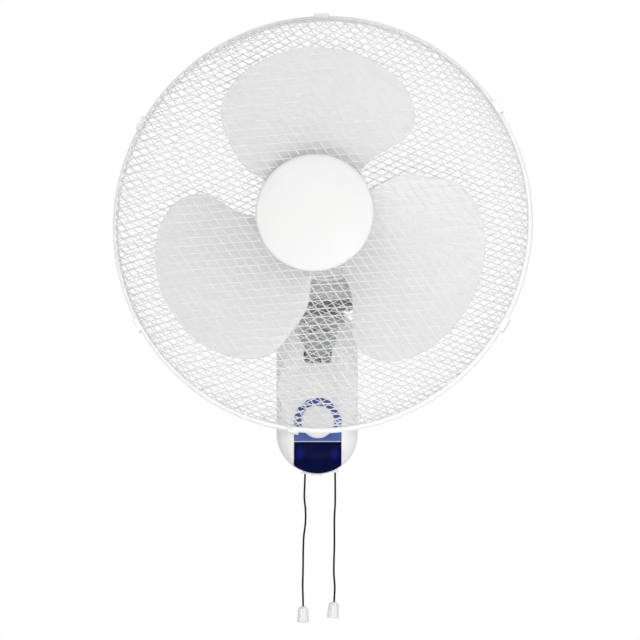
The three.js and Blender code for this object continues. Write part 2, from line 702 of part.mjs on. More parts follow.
pullCord('left', CORD_LEFT_X, LEFT_ROUTE, [-2, -154.5], 0);
pullCord('right', CORD_RIGHT_X, RIGHT_ROUTE, [-1.1, -149.8], 5);

// ---------------------------------------------------------------------------------------
// Tilt hinge
// ---------------------------------------------------------------------------------------

const EAR_X = BARREL_WIDTH / 2 + GAP + WASHER_THICK + GAP;     // inner face of each ear
const EAR_RADIUS = 11;
const BOLT_RADIUS = HINGE_BOLT / 2;

function bracketEar(x0) {
  const shape = new THREE.Shape();
  shape.moveTo(FLOOR, -BRACKET_HALF_HEIGHT);
  shape.lineTo(HINGE_OUT - 20, -EAR_RADIUS - 3);
  shape.absarc(HINGE_OUT, 0, EAR_RADIUS, 1.5 * Math.PI, 2.5 * Math.PI);
  shape.lineTo(HINGE_OUT - 20, EAR_RADIUS + 3);
  shape.lineTo(FLOOR, BRACKET_HALF_HEIGHT);
  const geometry = new THREE.ExtrudeGeometry(shape, {
    depth: EAR_THICK, bevelEnabled: false, curveSegments: 5,
  });
  geometry.rotateY(-Math.PI / 2);
  return solid(moved(geometry, x0 + EAR_THICK, HINGE_UP, 0));
}

function tiltBracket() {
  const base = box(-BRACKET_HALF_WIDTH, BRACKET_HALF_WIDTH, HINGE_UP - BRACKET_HALF_HEIGHT,
    HINGE_UP + BRACKET_RISE, FLOOR, FLOOR + EAR_THICK);
  const ears = joined(bracketEar(-EAR_X - EAR_THICK), bracketEar(EAR_X));
  const boltHole = rodX(BOLT_RADIUS + RUNNING, -40, 40, HINGE_UP, HINGE_OUT);
  const screwHoles = BRACKET_SCREWS.map(([x, y]) => rodZ(SCREW_SHANK + GAP, 0, 12, x, y, 10));
  return cut(joined(base, ears), boltHole, ...screwHoles);
}

piece(fan, 'tilt_bracket', tiltBracket(), STEEL);

BRACKET_SCREWS.forEach(([x, y], index) => {
  const seat = FLOOR + EAR_THICK + GAP;
  const head = rodZ(SCREW_HEAD, seat, seat + SCREW_HEAD_HEIGHT, x, y, 10);
  const shank = rodZ(SCREW_SHANK, seat - BRACKET_SCREW_LENGTH, seat + 1, x, y, 10);
  piece(fan, `bracket_screw_${index + 1}`, joined(head, shank), STEEL);
});

const NUT_ACROSS = 7.6;
const HINGE_HEAD = 4.5;

function tiltBolt() {
  const seat = -EAR_X - EAR_THICK - GAP;
  const end = EAR_X + EAR_THICK + 9;
  const head = rodX(NUT_ACROSS, seat - HINGE_HEAD, seat, 0, 0, 6);
  return joined(head, rodX(BOLT_RADIUS, seat - 1, end));
}

function tiltNut() {
  const seat = EAR_X + EAR_THICK + GAP;
  const nut = rodX(NUT_ACROSS, seat, seat + 6, 0, 0, 6);
  return cut(nut, rodX(BOLT_RADIUS + RUNNING, seat - 1, seat + 8));
}

function frictionWasher(side) {
  const inside = side * (BARREL_WIDTH / 2 + GAP);
  const outside = inside + side * WASHER_THICK;
  const low = Math.min(inside, outside);
  const disc = rodX(WASHER_RADIUS, low, low + WASHER_THICK, 0, 0, 24);
  return cut(disc, rodX(BOLT_RADIUS + RUNNING, low - 1, low + WASHER_THICK + 1));
}

const hingeAxis = new THREE.Group();
hingeAxis.position.set(0, HINGE_UP, HINGE_OUT);
fan.add(hingeAxis);
piece(hingeAxis, 'tilt_bolt', tiltBolt(), STEEL);
piece(hingeAxis, 'tilt_nut', tiltNut(), STEEL);
piece(hingeAxis, 'friction_washer_left', frictionWasher(-1), BLACK_PLASTIC);
piece(hingeAxis, 'friction_washer_right', frictionWasher(1), BLACK_PLASTIC);

// ---------------------------------------------------------------------------------------
// Neck arm, which tilts
// ---------------------------------------------------------------------------------------

const neck = new THREE.Group();
neck.position.copy(hingeAxis.position);
neck.rotation.x = -REST_TILT * RADIANS;
fan.add(neck);

const ARM_TOP = 22;                  // the flat that the link peg stands on
const NUT_POCKET_TOP = 8;
const PAN_PIN_LOW = 1.5;
const CORNER_STEPS = 2;

// A rounded rectangle in the plane z, for lofting.
function armSection(z, low, high, halfWidth, corner) {
  const loop = [];
  const corners = [
    [halfWidth - corner, high - corner, 0], [-halfWidth + corner, high - corner, 1],
    [-halfWidth + corner, low + corner, 2], [halfWidth - corner, low + corner, 3],
  ];
  for (const [x, y, quarter] of corners) {
    for (let i = 0; i <= CORNER_STEPS; i += 1) {
      const angle = (quarter + i / CORNER_STEPS) * Math.PI / 2;
      const dx = corner * Math.cos(angle);
      loop.push(new THREE.Vector3(x + dx, y + corner * Math.sin(angle), z));
    }
  }
  return loop;
}

function neckArm() {
  const half = BARREL_WIDTH / 2;
  const arm = loft([
    armSection(-4, -9, 9, half, 3),
    armSection(14, -10, 13, half, 4),
    armSection(PAN_REACH - 58, -9, 17, half + 3, 5),
    armSection(PAN_REACH - 36, -5, ARM_TOP - 1, half + 6, 6),
    armSection(PAN_REACH - 16, 0, ARM_TOP, half + 7.5, 6),
    armSection(PAN_REACH + 10, 4, ARM_TOP, half + 7, 6),
    armSection(PAN_REACH + 17, 7, ARM_TOP - 3, half + 3, 4),
  ]);
  const barrel = rodX(BARREL_RADIUS, -half, half, 0, 0, 18);
  const socket = rodY(SOCKET_RADIUS, 6, SOCKET_TOP, 0, PAN_REACH, 18);
  const lug = rodY(LINK_PIN / 2 + 3, 9, ARM_TOP, LINK_ANCHOR, PAN_REACH, 12);
  const hingeBore = rodX(BOLT_RADIUS + RUNNING, -half - 1, half + 1);
  const bushBore = rodY(BUSH_RADIUS + GAP, BUSH_LOW, SOCKET_TOP + 1, 0, PAN_REACH);
  const pinBore = rodY(PAN_PIN / 2 + RUNNING, -20, BUSH_LOW + 1, 0, PAN_REACH);
  const pocket = rodY(11, -20, NUT_POCKET_TOP, 0, PAN_REACH, 16);
  const peg = rodY(LINK_PIN / 2, ARM_TOP - 1, LINK_LOW - GAP, LINK_ANCHOR, PAN_REACH, 10);
  return cut(joined(arm, barrel, socket, lug, peg), hingeBore, bushBore, pinBore, pocket);
}

function panBush() {
  const bore = PAN_PIN / 2 + RUNNING;
  const flange = SOCKET_RADIUS - 0.5;
  const profile = [
    [bore, BUSH_LOW + GAP], [BUSH_RADIUS, BUSH_LOW + GAP], [BUSH_RADIUS, SOCKET_TOP + GAP],
    [flange, SOCKET_TOP + GAP], [flange, SOCKET_TOP + GAP + BUSH_FLANGE],
    [bore, SOCKET_TOP + GAP + BUSH_FLANGE], [bore, BUSH_LOW + GAP],
  ];
  return turned(profile, 14);
}

piece(neck, 'neck_arm', neckArm(), GREY_PLASTIC);
const bush = piece(neck, 'pan_bush', panBush(), BRONZE);
bush.rotation.x = -Math.PI / 2;
bush.position.z = PAN_REACH;

// ---------------------------------------------------------------------------------------
// Swivel: pivot pin, its nut, the bracket under the motor and the swing drive
// ---------------------------------------------------------------------------------------

const swivel = new THREE.Group();
swivel.position.set(0, 0, PAN_REACH);
swivel.rotation.y = -REST_PAN * RADIANS;
neck.add(swivel);

const PAN_PIN_HIGH = SWING_PLATE_LOW + 3;
const SADDLE_HALF_WIDTH = 20;
const SADDLE_FRONT = 24;
const SADDLE_BACK = -34;
const SWING_PLATE_HALF = SWING_CAN_RADIUS + 3;
const SKIRT_WALL = 2;
const SKIRT_LEFT = -14;              // left edge of the bracket and of the skirt's inside

function panBracket() {
  const high = SWING_PLATE_LOW + SWING_PLATE_THICK;
  const pad = box(MOTOR_OFFSET - SADDLE_HALF_WIDTH, MOTOR_OFFSET + SADDLE_HALF_WIDTH,
    high - 0.5, MOTOR_BOTTOM + 6, SADDLE_BACK, SADDLE_FRONT);
  const base = box(SKIRT_LEFT, MOTOR_OFFSET + SADDLE_HALF_WIDTH, SWING_PLATE_LOW, high,
    SADDLE_BACK, SADDLE_FRONT);
  const round = rodY(SWING_PLATE_HALF, SWING_PLATE_LOW, high, MOTOR_OFFSET, -SWING_BACK, 24);
  const boss = rodY(SOCKET_RADIUS + 2, PAN_BOSS_LOW, SWING_PLATE_LOW + 1, 0, 0, 24);
  const motor = rodZ(MOTOR_RADIUS + GAP, -200, 200, MOTOR_OFFSET, HEAD_RISE, 40);
  const pinHole = rodY(PAN_PIN / 2 + GAP, 0, PAN_PIN_HIGH + GAP, 0, 0, 20);
  return cut(joined(pad, base, round, boss), motor, pinHole);
}

function panPin() {
  return rodY(PAN_PIN / 2, PAN_PIN_LOW, PAN_PIN_HIGH, 0, 0, 20);
}

function panNut() {
  const high = NUT_POCKET_TOP - GAP;
  const nut = rodY(8, high - 5, high, 0, 0, 6);
  return cut(nut, rodY(PAN_PIN / 2 + RUNNING, high - 7, high + 1, 0, 0, 20));
}

function swingMotor() {
  const can = rodY(SWING_CAN_RADIUS, SWING_CAN_LOW, SWING_PLATE_LOW - GAP, 0, 0, 28);
  const shaft = rodY(3, CRANK_LOW + 0.5, SWING_CAN_LOW + 1, 0, 0, 14);
  return joined(can, shaft);
}

piece(swivel, 'pan_bracket', panBracket(), CAST_METAL);
piece(swivel, 'pan_pin', panPin(), STEEL);
piece(swivel, 'pan_nut', panNut(), STEEL);
piece(swivel, 'swing_motor', swingMotor(), CAST_METAL).position.set(MOTOR_OFFSET, 0, -SWING_BACK);

// With the head straight ahead the crank points to the right. It turns twice as fast as
// the head swivels, the other way.
const crankTurn = 90 - 2 * REST_PAN;              // from straight back, clockwise from above
const crankGroup = new THREE.Group();
crankGroup.position.set(MOTOR_OFFSET, 0, -SWING_BACK);
crankGroup.rotation.y = (90 - crankTurn) * RADIANS;
swivel.add(crankGroup);

function teardrop(length, big, small, low, high) {
  const lean = Math.acos((big - small) / length);
  const shape = new THREE.Shape();
  shape.absarc(0, 0, big, lean, 2 * Math.PI - lean);
  shape.absarc(length, 0, small, -lean, lean);
  const geometry = new THREE.ExtrudeGeometry(shape, {
    depth: high - low, bevelEnabled: false, curveSegments: 6,
  });
  return solid(moved(geometry.rotateX(-Math.PI / 2), 0, low, 0));
}

function swingCrank() {
  const body = teardrop(CRANK_RADIUS, 7, 4, CRANK_LOW, CRANK_LOW + CRANK_THICK);
  const pin = rodY(LINK_PIN / 2, LINK_LOW - 1.5, CRANK_LOW + 1, CRANK_RADIUS, 0, 12);
  return cut(joined(body, pin), rodY(3 + GAP, CRANK_LOW - 1, CRANK_LOW + 6, 0, 0, 14));
}

piece(crankGroup, 'swing_crank', swingCrank(), BLACK_PLASTIC);

// The link reaches from the crank pin to the peg on the neck. Its own length and heading
// are those of the rest pose.
function crankPinPlace() {
  const angle = crankTurn * RADIANS;
  const x = MOTOR_OFFSET + CRANK_RADIUS * Math.sin(angle);
  return new THREE.Vector2(x, -SWING_BACK - CRANK_RADIUS * Math.cos(angle));
}

function linkAnchorPlace() {
  const angle = REST_PAN * RADIANS;
  return new THREE.Vector2(LINK_ANCHOR * Math.cos(angle), LINK_ANCHOR * Math.sin(-angle));
}

// The bar bows out to the right, clear of the swivel's socket.
function linkBar(length) {
  const radius = (length ** 2 / 4 + LINK_BOW ** 2) / (2 * LINK_BOW);
  const half = Math.asin(length / 2 / radius);
  const from = Math.PI / 2 - half;
  const to = Math.PI / 2 + half;
  const shape = new THREE.Shape();
  shape.absarc(length / 2, LINK_BOW - radius, radius + LINK_WIDTH / 2, from, to, false);
  shape.absarc(length / 2, LINK_BOW - radius, radius - LINK_WIDTH / 2, to, from, true);
  const geometry = new THREE.ExtrudeGeometry(shape, {
    depth: LINK_THICK, bevelEnabled: false, curveSegments: 6,
  });
  return solid(moved(geometry.rotateX(-Math.PI / 2), 0, LINK_LOW, 0));
}

function swingLink(length) {
  const high = LINK_LOW + LINK_THICK;
  const eyes = [0, length].map((x) => rodY(4.4, LINK_LOW, high, x, 0, 12));
  const bar = linkBar(length);
  const holes = [0, length].map((x) => (
    rodY(LINK_PIN / 2 + RUNNING, LINK_LOW - 1, high + 1, x, 0, 10)
  ));
  return cut(joined(bar, ...eyes), ...holes);
}

const crankPin = crankPinPlace();
const anchorPin = linkAnchorPlace();
const linkSpan = anchorPin.clone().sub(crankPin);
const link = piece(swivel, 'swing_link', swingLink(linkSpan.length()), STEEL);
link.position.set(crankPin.x, 0, crankPin.y);
link.rotation.y = Math.atan2(-linkSpan.y, linkSpan.x);

// ---------------------------------------------------------------------------------------
// Head: motor, covers and guards, on the fan axis. Z = 0 is the plane of the rim.
// ---------------------------------------------------------------------------------------

const head = new THREE.Group();
head.position.set(MOTOR_OFFSET, HEAD_RISE, RIM_REACH);
swivel.add(head);

const FRONT_SHELL_BACK = -MOTOR_FRONT - FRONT_SHELL_LENGTH;
const STATOR_FRONT = FRONT_SHELL_BACK - GAP;
const STATOR_BACK = STATOR_FRONT - STATOR_LENGTH;
const REAR_SHELL_FRONT = STATOR_BACK - GAP;
const MOTOR_BACK = REAR_SHELL_FRONT - REAR_SHELL_LENGTH;
const SHAFT_RADIUS = SHAFT / 2;
const NOSE_FRONT = -MOTOR_FRONT + 13;
const NOSE_SIDES = 20;
const BEARING_RADIUS = 9;
const BEARING_LENGTH = 10;

// A die-cast end shell: a cup with a bearing seat. The front one has a nose that passes
// through the rear guard.
function motorFrontShell() {
  const bore = BEARING_RADIUS + GAP;
  const inner = MOTOR_RADIUS - MOTOR_WALL;
  const profile = [
    [SHAFT_RADIUS + 1, NOSE_FRONT], [NOSE_RADIUS, NOSE_FRONT], [NOSE_RADIUS, -MOTOR_FRONT],
    [MOTOR_RADIUS - 4, -MOTOR_FRONT], [MOTOR_RADIUS, -MOTOR_FRONT - 4],
    [MOTOR_RADIUS, FRONT_SHELL_BACK], [inner, FRONT_SHELL_BACK],
    [inner, -MOTOR_FRONT - 5], [NOSE_RADIUS - 4, -MOTOR_FRONT - MOTOR_WALL],
    [bore + 2, -MOTOR_FRONT - MOTOR_WALL], [bore, -MOTOR_FRONT - MOTOR_WALL],
    [bore, NOSE_FRONT - 2], [SHAFT_RADIUS + 1, NOSE_FRONT - 2],
    [SHAFT_RADIUS + 1, NOSE_FRONT],
  ];
  return turned(profile, NOSE_SIDES);
}

function motorRearShell() {
  const bore = BEARING_RADIUS + GAP;
  const inner = MOTOR_RADIUS - MOTOR_WALL;
  const hubFront = MOTOR_BACK + BEARING_LENGTH + 2 * GAP + 2;
  const profile = [
    [SHAFT_RADIUS + 1, MOTOR_BACK], [MOTOR_RADIUS - 8, MOTOR_BACK],
    [MOTOR_RADIUS, MOTOR_BACK + 6], [MOTOR_RADIUS, REAR_SHELL_FRONT],
    [inner, REAR_SHELL_FRONT], [inner, MOTOR_BACK + 7],
    [MOTOR_RADIUS - 9, MOTOR_BACK + MOTOR_WALL], [bore + 2.5, MOTOR_BACK + MOTOR_WALL],
    [bore + 2.5, hubFront], [bore, hubFront], [bore, MOTOR_BACK + 2],
    [SHAFT_RADIUS + 1, MOTOR_BACK + 2], [SHAFT_RADIUS + 1, MOTOR_BACK],
  ];
  return turned(profile, 20);
}

function bearing(back) {
  return tubeZ(SHAFT_RADIUS + RUNNING, BEARING_RADIUS, back, back + BEARING_LENGTH, 14);
}

const STATOR_BORE = ROTOR_RADIUS + 0.6;
const COIL_OUTER = MOTOR_RADIUS - MOTOR_WALL - 4;
const COIL_HEIGHT = 11;

function stator() {
  return tubeZ(STATOR_BORE, MOTOR_RADIUS, STATOR_BACK, STATOR_FRONT, 24);
}

function coilRing(low) {
  return tubeZ(STATOR_BORE + 1.5, COIL_OUTER, low, low + COIL_HEIGHT, 18);
}

piece(head, 'motor_front_shell', motorFrontShell(), CAST_METAL);
piece(head, 'motor_rear_shell', motorRearShell(), CAST_METAL);
piece(head, 'stator_core', stator(), LAMINATION);
piece(head, 'winding_front', coilRing(STATOR_FRONT + GAP), COPPER);
piece(head, 'winding_rear', coilRing(STATOR_BACK - GAP - COIL_HEIGHT), COPPER);
piece(head, 'front_bearing', bearing(NOSE_FRONT - 2 - GAP - BEARING_LENGTH), BRONZE);
piece(head, 'rear_bearing', bearing(MOTOR_BACK + 2 + GAP), BRONZE);

// The white cover over the motor: a drum with a round back, vents, and an opening in its
// underside for the bracket.
const COVER_FRONT = -MOTOR_FRONT - 3;
const COVER_BACK = COVER_FRONT - COVER_LENGTH;
const VENT_COUNT = 8;
const COVER_STEPS = 4;
const COVER_RIB_ANGLES = [25, 90, 155];
const COVER_RIB_LENGTH = 30;
const COVER_RIB_THICK = 2.5;

function coverProfile(inset) {
  const radius = COVER_RADIUS - inset;
  const back = COVER_BACK + inset;
  const shoulder = 26;
  const points = [];
  for (let i = 0; i <= COVER_STEPS; i += 1) {
    const turn = (Math.PI / 2) * (i / COVER_STEPS);
    points.push([radius - shoulder * (1 - Math.cos(turn)), back + shoulder * (1 - Math.sin(turn))]);
  }
  return points;
}

// The ribs inside the cover sit round the motor's front shell.
function coverRib(angle) {
  const inside = MOTOR_RADIUS + GAP;
  const outside = COVER_RADIUS - COVER_WALL / 2;
  const rib = new THREE.BoxGeometry(outside - inside, COVER_RIB_THICK, COVER_RIB_LENGTH);
  rib.translate((inside + outside) / 2, 0, COVER_FRONT - 1 - COVER_RIB_LENGTH / 2);
  return solid(rib.rotateZ(angle * RADIANS));
}

function motorCover() {
  const outer = turned([[0, COVER_FRONT], [COVER_RADIUS, COVER_FRONT],
    ...coverProfile(0), [0, COVER_BACK]], 28);
  const inner = turned([[0, COVER_FRONT + 1], [COVER_RADIUS - COVER_WALL, COVER_FRONT + 1],
    ...coverProfile(COVER_WALL), [0, COVER_BACK + COVER_WALL]], 28);
  const vents = [];
  for (let i = 0; i < VENT_COUNT; i += 1) {
    const slot = new THREE.BoxGeometry(13, 3.2, 14);
    slot.translate(21, 0, COVER_BACK);
    slot.rotateZ(i * 2 * Math.PI / VENT_COUNT);
    vents.push(solid(slot));
  }
  const around = SKIRT_WALL + 2 * GAP;
  const opening = box(SKIRT_LEFT - MOTOR_OFFSET - around, SWING_PLATE_HALF + around,
    -COVER_RADIUS - 1, MOTOR_BOTTOM + 3 - HEAD_RISE,
    -RIM_REACH - SWING_BACK - SWING_PLATE_HALF - around, SADDLE_FRONT - RIM_REACH + around);
  const shell = cut(outer, inner, ...vents, opening);
  return joined(shell, ...COVER_RIB_ANGLES.map(coverRib));
}

piece(head, 'motor_cover', motorCover(), WHITE_PLASTIC);

// The skirt under the motor cover that hides the swing drive. It hangs from the bracket.
const SKIRT_LOW = CRANK_LOW;

function skirtOutline(grow) {
  const back = -SWING_BACK;
  const radius = SWING_PLATE_HALF + GAP + grow;
  const shape = new THREE.Shape();
  const front = SADDLE_FRONT + GAP + grow;
  const left = SKIRT_LEFT - GAP - grow;
  const right = MOTOR_OFFSET + radius;
  shape.moveTo(left, -front);
  shape.lineTo(right, -front);
  shape.lineTo(right, -back);
  shape.absarc(MOTOR_OFFSET, -back, radius, 0, Math.PI - Math.acos(
    Math.min(1, (MOTOR_OFFSET - left) / radius)));
  shape.lineTo(left, -back);
  return shape;
}

function swingSkirt() {
  const high = SWING_PLATE_LOW + SWING_PLATE_THICK;
  const outer = plate(skirtOutline(SKIRT_WALL), SKIRT_LOW, high, 10);
  const inner = plate(skirtOutline(0), SKIRT_LOW - 1, high + 1, 10);
  return cut(outer, inner);
}

const skirt = piece(swivel, 'swing_cover', swingSkirt(), WHITE_PLASTIC);
skirt.rotation.x = -Math.PI / 2;

// ---------------------------------------------------------------------------------------
// Guards
// ---------------------------------------------------------------------------------------

// The surface that a guard's wires follow: height over the rim at a radius.
function domeHeight(radius, dome) {
  const share = Math.min(1, radius / dome.radius);
  return dome.depth * Math.sqrt(Math.max(0, 1 - share ** dome.power));
}

function torus(radius, wire, z, steps, sides = 5) {
  return solid(moved(new THREE.TorusGeometry(radius, wire / 2, sides, steps), 0, 0, z));
}

const WIRE_SIDES = 3;
const RIM_STEPS = 40;

// Radii, as shares of the rim's, at which a wire bends to follow its dome.
const BEND_SHARES = [0.74, 0.93];

// One wire of the mesh, lying in the upright plane through its chord. It bends where it
// crosses the same circles as its neighbours do, and in its middle if it misses one.
function meshWire(dome, angle, offset, from, to) {
  const along = new THREE.Vector3(Math.cos(angle), Math.sin(angle), 0);
  const across = new THREE.Vector3(-along.y, along.x, 0);
  const bends = BEND_SHARES.map((share) => share * dome.radius)
    .filter((radius) => radius > Math.abs(offset) + 8)
    .map((radius) => Math.sqrt(radius ** 2 - offset ** 2));
  const middle = bends.length < BEND_SHARES.length ? [0] : [];
  const inside = [...bends.map((t) => -t), ...middle, ...bends]
    .filter((t) => t > Math.min(from, to) + 6 && t < Math.max(from, to) - 1)
    .sort((a, b) => (a - b) * Math.sign(to - from));
  const path = [from, ...inside, to].map((t) => {
    const z = dome.base + dome.side * domeHeight(Math.hypot(t, offset), dome);
    return along.clone().multiplyScalar(t).addScaledVector(across, offset).setZ(z);
  });
  const loops = path.map((point, i) => {
    const before = path[Math.max(0, i - 1)];
    const after = path[Math.min(path.length - 1, i + 1)];
    const tangent = after.clone().sub(before).normalize();
    const up = tangent.clone().cross(across).normalize();
    const loop = [];
    for (let k = 0; k < WIRE_SIDES; k += 1) {
      const turn = (k + 0.5) * 2 * Math.PI / WIRE_SIDES;
      loop.push(point.clone()
        .addScaledVector(across, Math.cos(turn) * MESH_WIRE / 2)
        .addScaledVector(up, Math.sin(turn) * MESH_WIRE / 2));
    }
    return loop;
  });
  return loft(loops);
}

// All the wires of one set: parallel chords, stopping at the centre ring.
function wireSet(dome, degrees, pitch, centreRadius) {
  const angle = degrees * RADIANS;
  const wires = [];
  const count = Math.floor(0.985 * dome.radius / pitch);
  for (let i = -count; i <= count; i += 1) {
    const offset = i * pitch;
    const reach = Math.sqrt((RIM_RADIUS - WIRE_INSET) ** 2 - offset ** 2);
    if (Math.abs(offset) < centreRadius) {
      const stop = Math.sqrt(centreRadius ** 2 - offset ** 2);
      wires.push(meshWire(dome, angle, offset, stop, reach));
      wires.push(meshWire(dome, angle, offset, -stop, -reach));
    } else {
      wires.push(meshWire(dome, angle, offset, -reach, reach));
    }
  }
  return wires;
}

function layers(side, depth, power) {
  return [0, LAYER_STEP].map((step) => ({
    side,
    power,
    base: side * RIM_OFFSET,
    depth: depth - step,
    radius: RIM_RADIUS - WIRE_INSET - step,
  }));
}

const FRONT_LAYERS = layers(1, FRONT_DEPTH, DOME_POWER);
const REAR_LAYERS = layers(-1, REAR_DEPTH, REAR_POWER);
const CENTRE_RING_Z = RIM_OFFSET + FRONT_DEPTH - LAYER_STEP / 2;

function frontGuard() {
  const rim = torus(RIM_RADIUS, RIM_WIRE, RIM_OFFSET, RIM_STEPS);
  const centre = torus(CENTRE_RING_RADIUS, CENTRE_RING_WIRE, CENTRE_RING_Z, RIM_STEPS / 2);
  const wires = FRONT_LAYERS.flatMap((dome, i) => (
    wireSet(dome, FRONT_ANGLES[i], FRONT_PITCH, CENTRE_RING_RADIUS)
  ));
  return wasm.Manifold.union([rim, centre, ...wires]);
}

const REAR_PLATE_Z = -MOTOR_FRONT + GAP;          // back face of the guard's centre plate

function rearGuard() {
  const rim = torus(RIM_RADIUS, RIM_WIRE, -RIM_OFFSET, RIM_STEPS);
  const disc = tubeZ(NOSE_RADIUS + GAP, REAR_PLATE_RADIUS, REAR_PLATE_Z,
    REAR_PLATE_Z + REAR_PLATE_THICK, RIM_STEPS / 2);
  const centre = torus(REAR_PLATE_RADIUS, 4, REAR_PLATE_Z + 1.8, RIM_STEPS / 2);
  const wires = REAR_LAYERS.flatMap((dome, i) => (
    wireSet(dome, REAR_ANGLES[i], REAR_PITCH, REAR_PLATE_RADIUS)
  ));
  return wasm.Manifold.union([rim, disc, centre, ...wires]);
}

piece(head, 'front_guard', frontGuard(), WHITE_WIRE);
piece(head, 'rear_guard', rearGuard(), WHITE_WIRE);

// The plastic ring nut that clamps the rear guard on the motor's nose.
const GUARD_NUT_WIDTH = 15.6;
const GUARD_NUT_LENGTH = 10;
const GUARD_NUT_FLANGE = 3;
const GRIP_LENGTH = 8;
const GRIP_WIDTH = 3;

function guardNut() {
  const back = REAR_PLATE_Z + REAR_PLATE_THICK + GAP;
  const bore = NOSE_RADIUS + RUNNING;
  const flange = NOSE_RADIUS + GUARD_NUT_WIDTH;
  const front = back + GUARD_NUT_LENGTH;
  const profile = [
    [bore, back], [flange, back], [flange, back + GUARD_NUT_FLANGE],
    [flange - GRIP_LENGTH + 1, back + GUARD_NUT_LENGTH / 2], [flange - GRIP_LENGTH, front],
    [bore, front], [bore, back],
  ];
  const grips = [];
  for (let i = 0; i < 6; i += 1) {
    const grip = new THREE.BoxGeometry(GRIP_LENGTH, GRIP_WIDTH, GUARD_NUT_LENGTH / 2);
    grip.translate(flange - 5 * GRIP_LENGTH / 8, 0, back + 0.6 * GUARD_NUT_LENGTH);
    grip.rotateZ(i * Math.PI / 3);
    grips.push(solid(grip));
  }
  return joined(turned(profile, NOSE_SIDES), ...grips);
}

piece(head, 'guard_nut', guardNut(), WHITE_PLASTIC);

// The domed cap in the middle of the front guard. A wall behind it plugs the centre ring.
const CAP_BACK = RIM_OFFSET + FRONT_DEPTH + MESH_WIRE / 2 + GAP;

function centreCap() {
  const radius = CAP_DIAMETER / 2;
  const plug = CENTRE_RING_RADIUS - CENTRE_RING_WIRE / 2 - 3 * GAP;
  const profile = [
    [0, CAP_BACK + CAP_DOME], [radius * 0.35, CAP_BACK + CAP_DOME - 0.4],
    [radius * 0.7, CAP_BACK + CAP_DOME - 2], [radius - 4, CAP_BACK + CAP_DOME - 4.2],
    [radius - 1, CAP_BACK + 1.6], [radius, CAP_BACK], [radius - CAP_WALL, CAP_BACK],
    [radius - 5, CAP_BACK + CAP_DOME - 4.2 - CAP_WALL], [plug, CAP_BACK + 1.8],
    [plug, CENTRE_RING_Z - 2], [plug - 1.6, CENTRE_RING_Z - 2],
    [plug - 1.6, CAP_BACK + 2.2], [radius * 0.35, CAP_BACK + CAP_DOME - 0.4 - CAP_WALL],
    [0, CAP_BACK + CAP_DOME - CAP_WALL],
  ];
  return turned(profile, 30);
}

piece(head, 'centre_cap', centreCap(), WHITE_PLASTIC);

// The clips that hold the two rims together, bent round both from outside.
function rimClip(locking) {
  const inner = RIM_OFFSET + RIM_WIRE / 2 + GAP;
  const outer = inner + CLIP_THICK;
  const front = locking ? outer + 1.6 : outer;
  const wall = GUARD_DIAMETER / 2 + 2 * GAP;
  const reach = RIM_RADIUS - WIRE_INSET + 0.5;
  const shape = new THREE.Shape();
  shape.moveTo(reach, inner);
  shape.lineTo(wall, inner);
  shape.lineTo(wall, -inner);
  shape.lineTo(reach, -inner);
  shape.lineTo(reach, -outer);
  shape.lineTo(wall + CLIP_THICK, -outer);
  shape.lineTo(wall + CLIP_THICK, front);
  shape.lineTo(reach, front);
  const geometry = new THREE.ExtrudeGeometry(shape, { depth: CLIP_WIDTH, bevelEnabled: false });
  geometry.rotateX(Math.PI / 2);
  const body = solid(moved(geometry, 0, CLIP_WIDTH / 2, 0));
  return locking ? cut(body, rodZ(1.2 + GAP, inner + 0.5, front + 1, RIM_RADIUS, 0, 10)) : body;
}

function ringScrew() {
  const seat = RIM_OFFSET + RIM_WIRE / 2 + GAP + CLIP_THICK + 1.6 + GAP;
  const top = rodZ(2.5, seat, seat + 1.5, RIM_RADIUS, 0, 14);
  return joined(top, rodZ(1.2, seat - 2.6, seat + 0.5, RIM_RADIUS, 0, 10));
}

CLIP_ANGLES.forEach((angle, index) => {
  const locking = index === LOCK_CLIP;
  const clip = piece(head, `rim_clip_${index + 1}`, rimClip(locking), WHITE_PLASTIC);
  clip.rotation.z = angle * RADIANS;
  if (locking) {
    piece(head, 'ring_screw', ringScrew(), STEEL).rotation.z = angle * RADIANS;
  }
});

// ---------------------------------------------------------------------------------------
// Spinning parts: shaft, rotor, blades, drive pin and spinner nut
// ---------------------------------------------------------------------------------------

const spin = new THREE.Group();
spin.rotation.z = BLADE_REST_ANGLE * RADIANS;
head.add(spin);

const DRIVE_PIN_RADIUS = 1.5;
const DRIVE_PIN_Z = HUB_BACK + 2.5;
const SHAFT_FRONT = HUB_FRONT + NUT_LENGTH - 3;

function motorShaft() {
  const shaft = rodZ(SHAFT_RADIUS, MOTOR_BACK - 4, SHAFT_FRONT, 0, 0, 20);
  return cut(shaft, rodX(DRIVE_PIN_RADIUS + GAP, -10, 10, 0, DRIVE_PIN_Z, 12));
}

function rotor() {
  return tubeZ(SHAFT_RADIUS + GAP, ROTOR_RADIUS, STATOR_BACK - 1, STATOR_FRONT + 1, 18);
}

// Half angles of the blade at a radius, in degrees: the leading side narrows towards the
// hub and hooks out, the trailing side is broad at the root. Both close round the tip.
function smooth(value, low, high) {
  const share = Math.min(1, Math.max(0, (value - low) / (high - low)));
  return share * share * (3 - 2 * share);
}

function bladeAngles(radius) {
  const tipStart = 0.66 * BLADE_TIP;
  const share = Math.min(1, Math.max(0, (radius - tipStart) / (BLADE_TIP + 0.5 - tipStart)));
  const round = Math.sqrt(1 - share ** 2.5);
  const leading = 37 + 8 * smooth(radius, 0.4 * BLADE_TIP, 0.7 * BLADE_TIP);
  const trailing = 55 - 9 * smooth(radius, 0.47 * BLADE_TIP, 0.78 * BLADE_TIP);
  return [-leading * round, trailing * round];
}

const BLADE_CHORDS = 6;
const BLADE_STATIONS = [0.13, 0.3, 0.46, 0.6, 0.72, 0.82, 0.9, 0.96, 1];

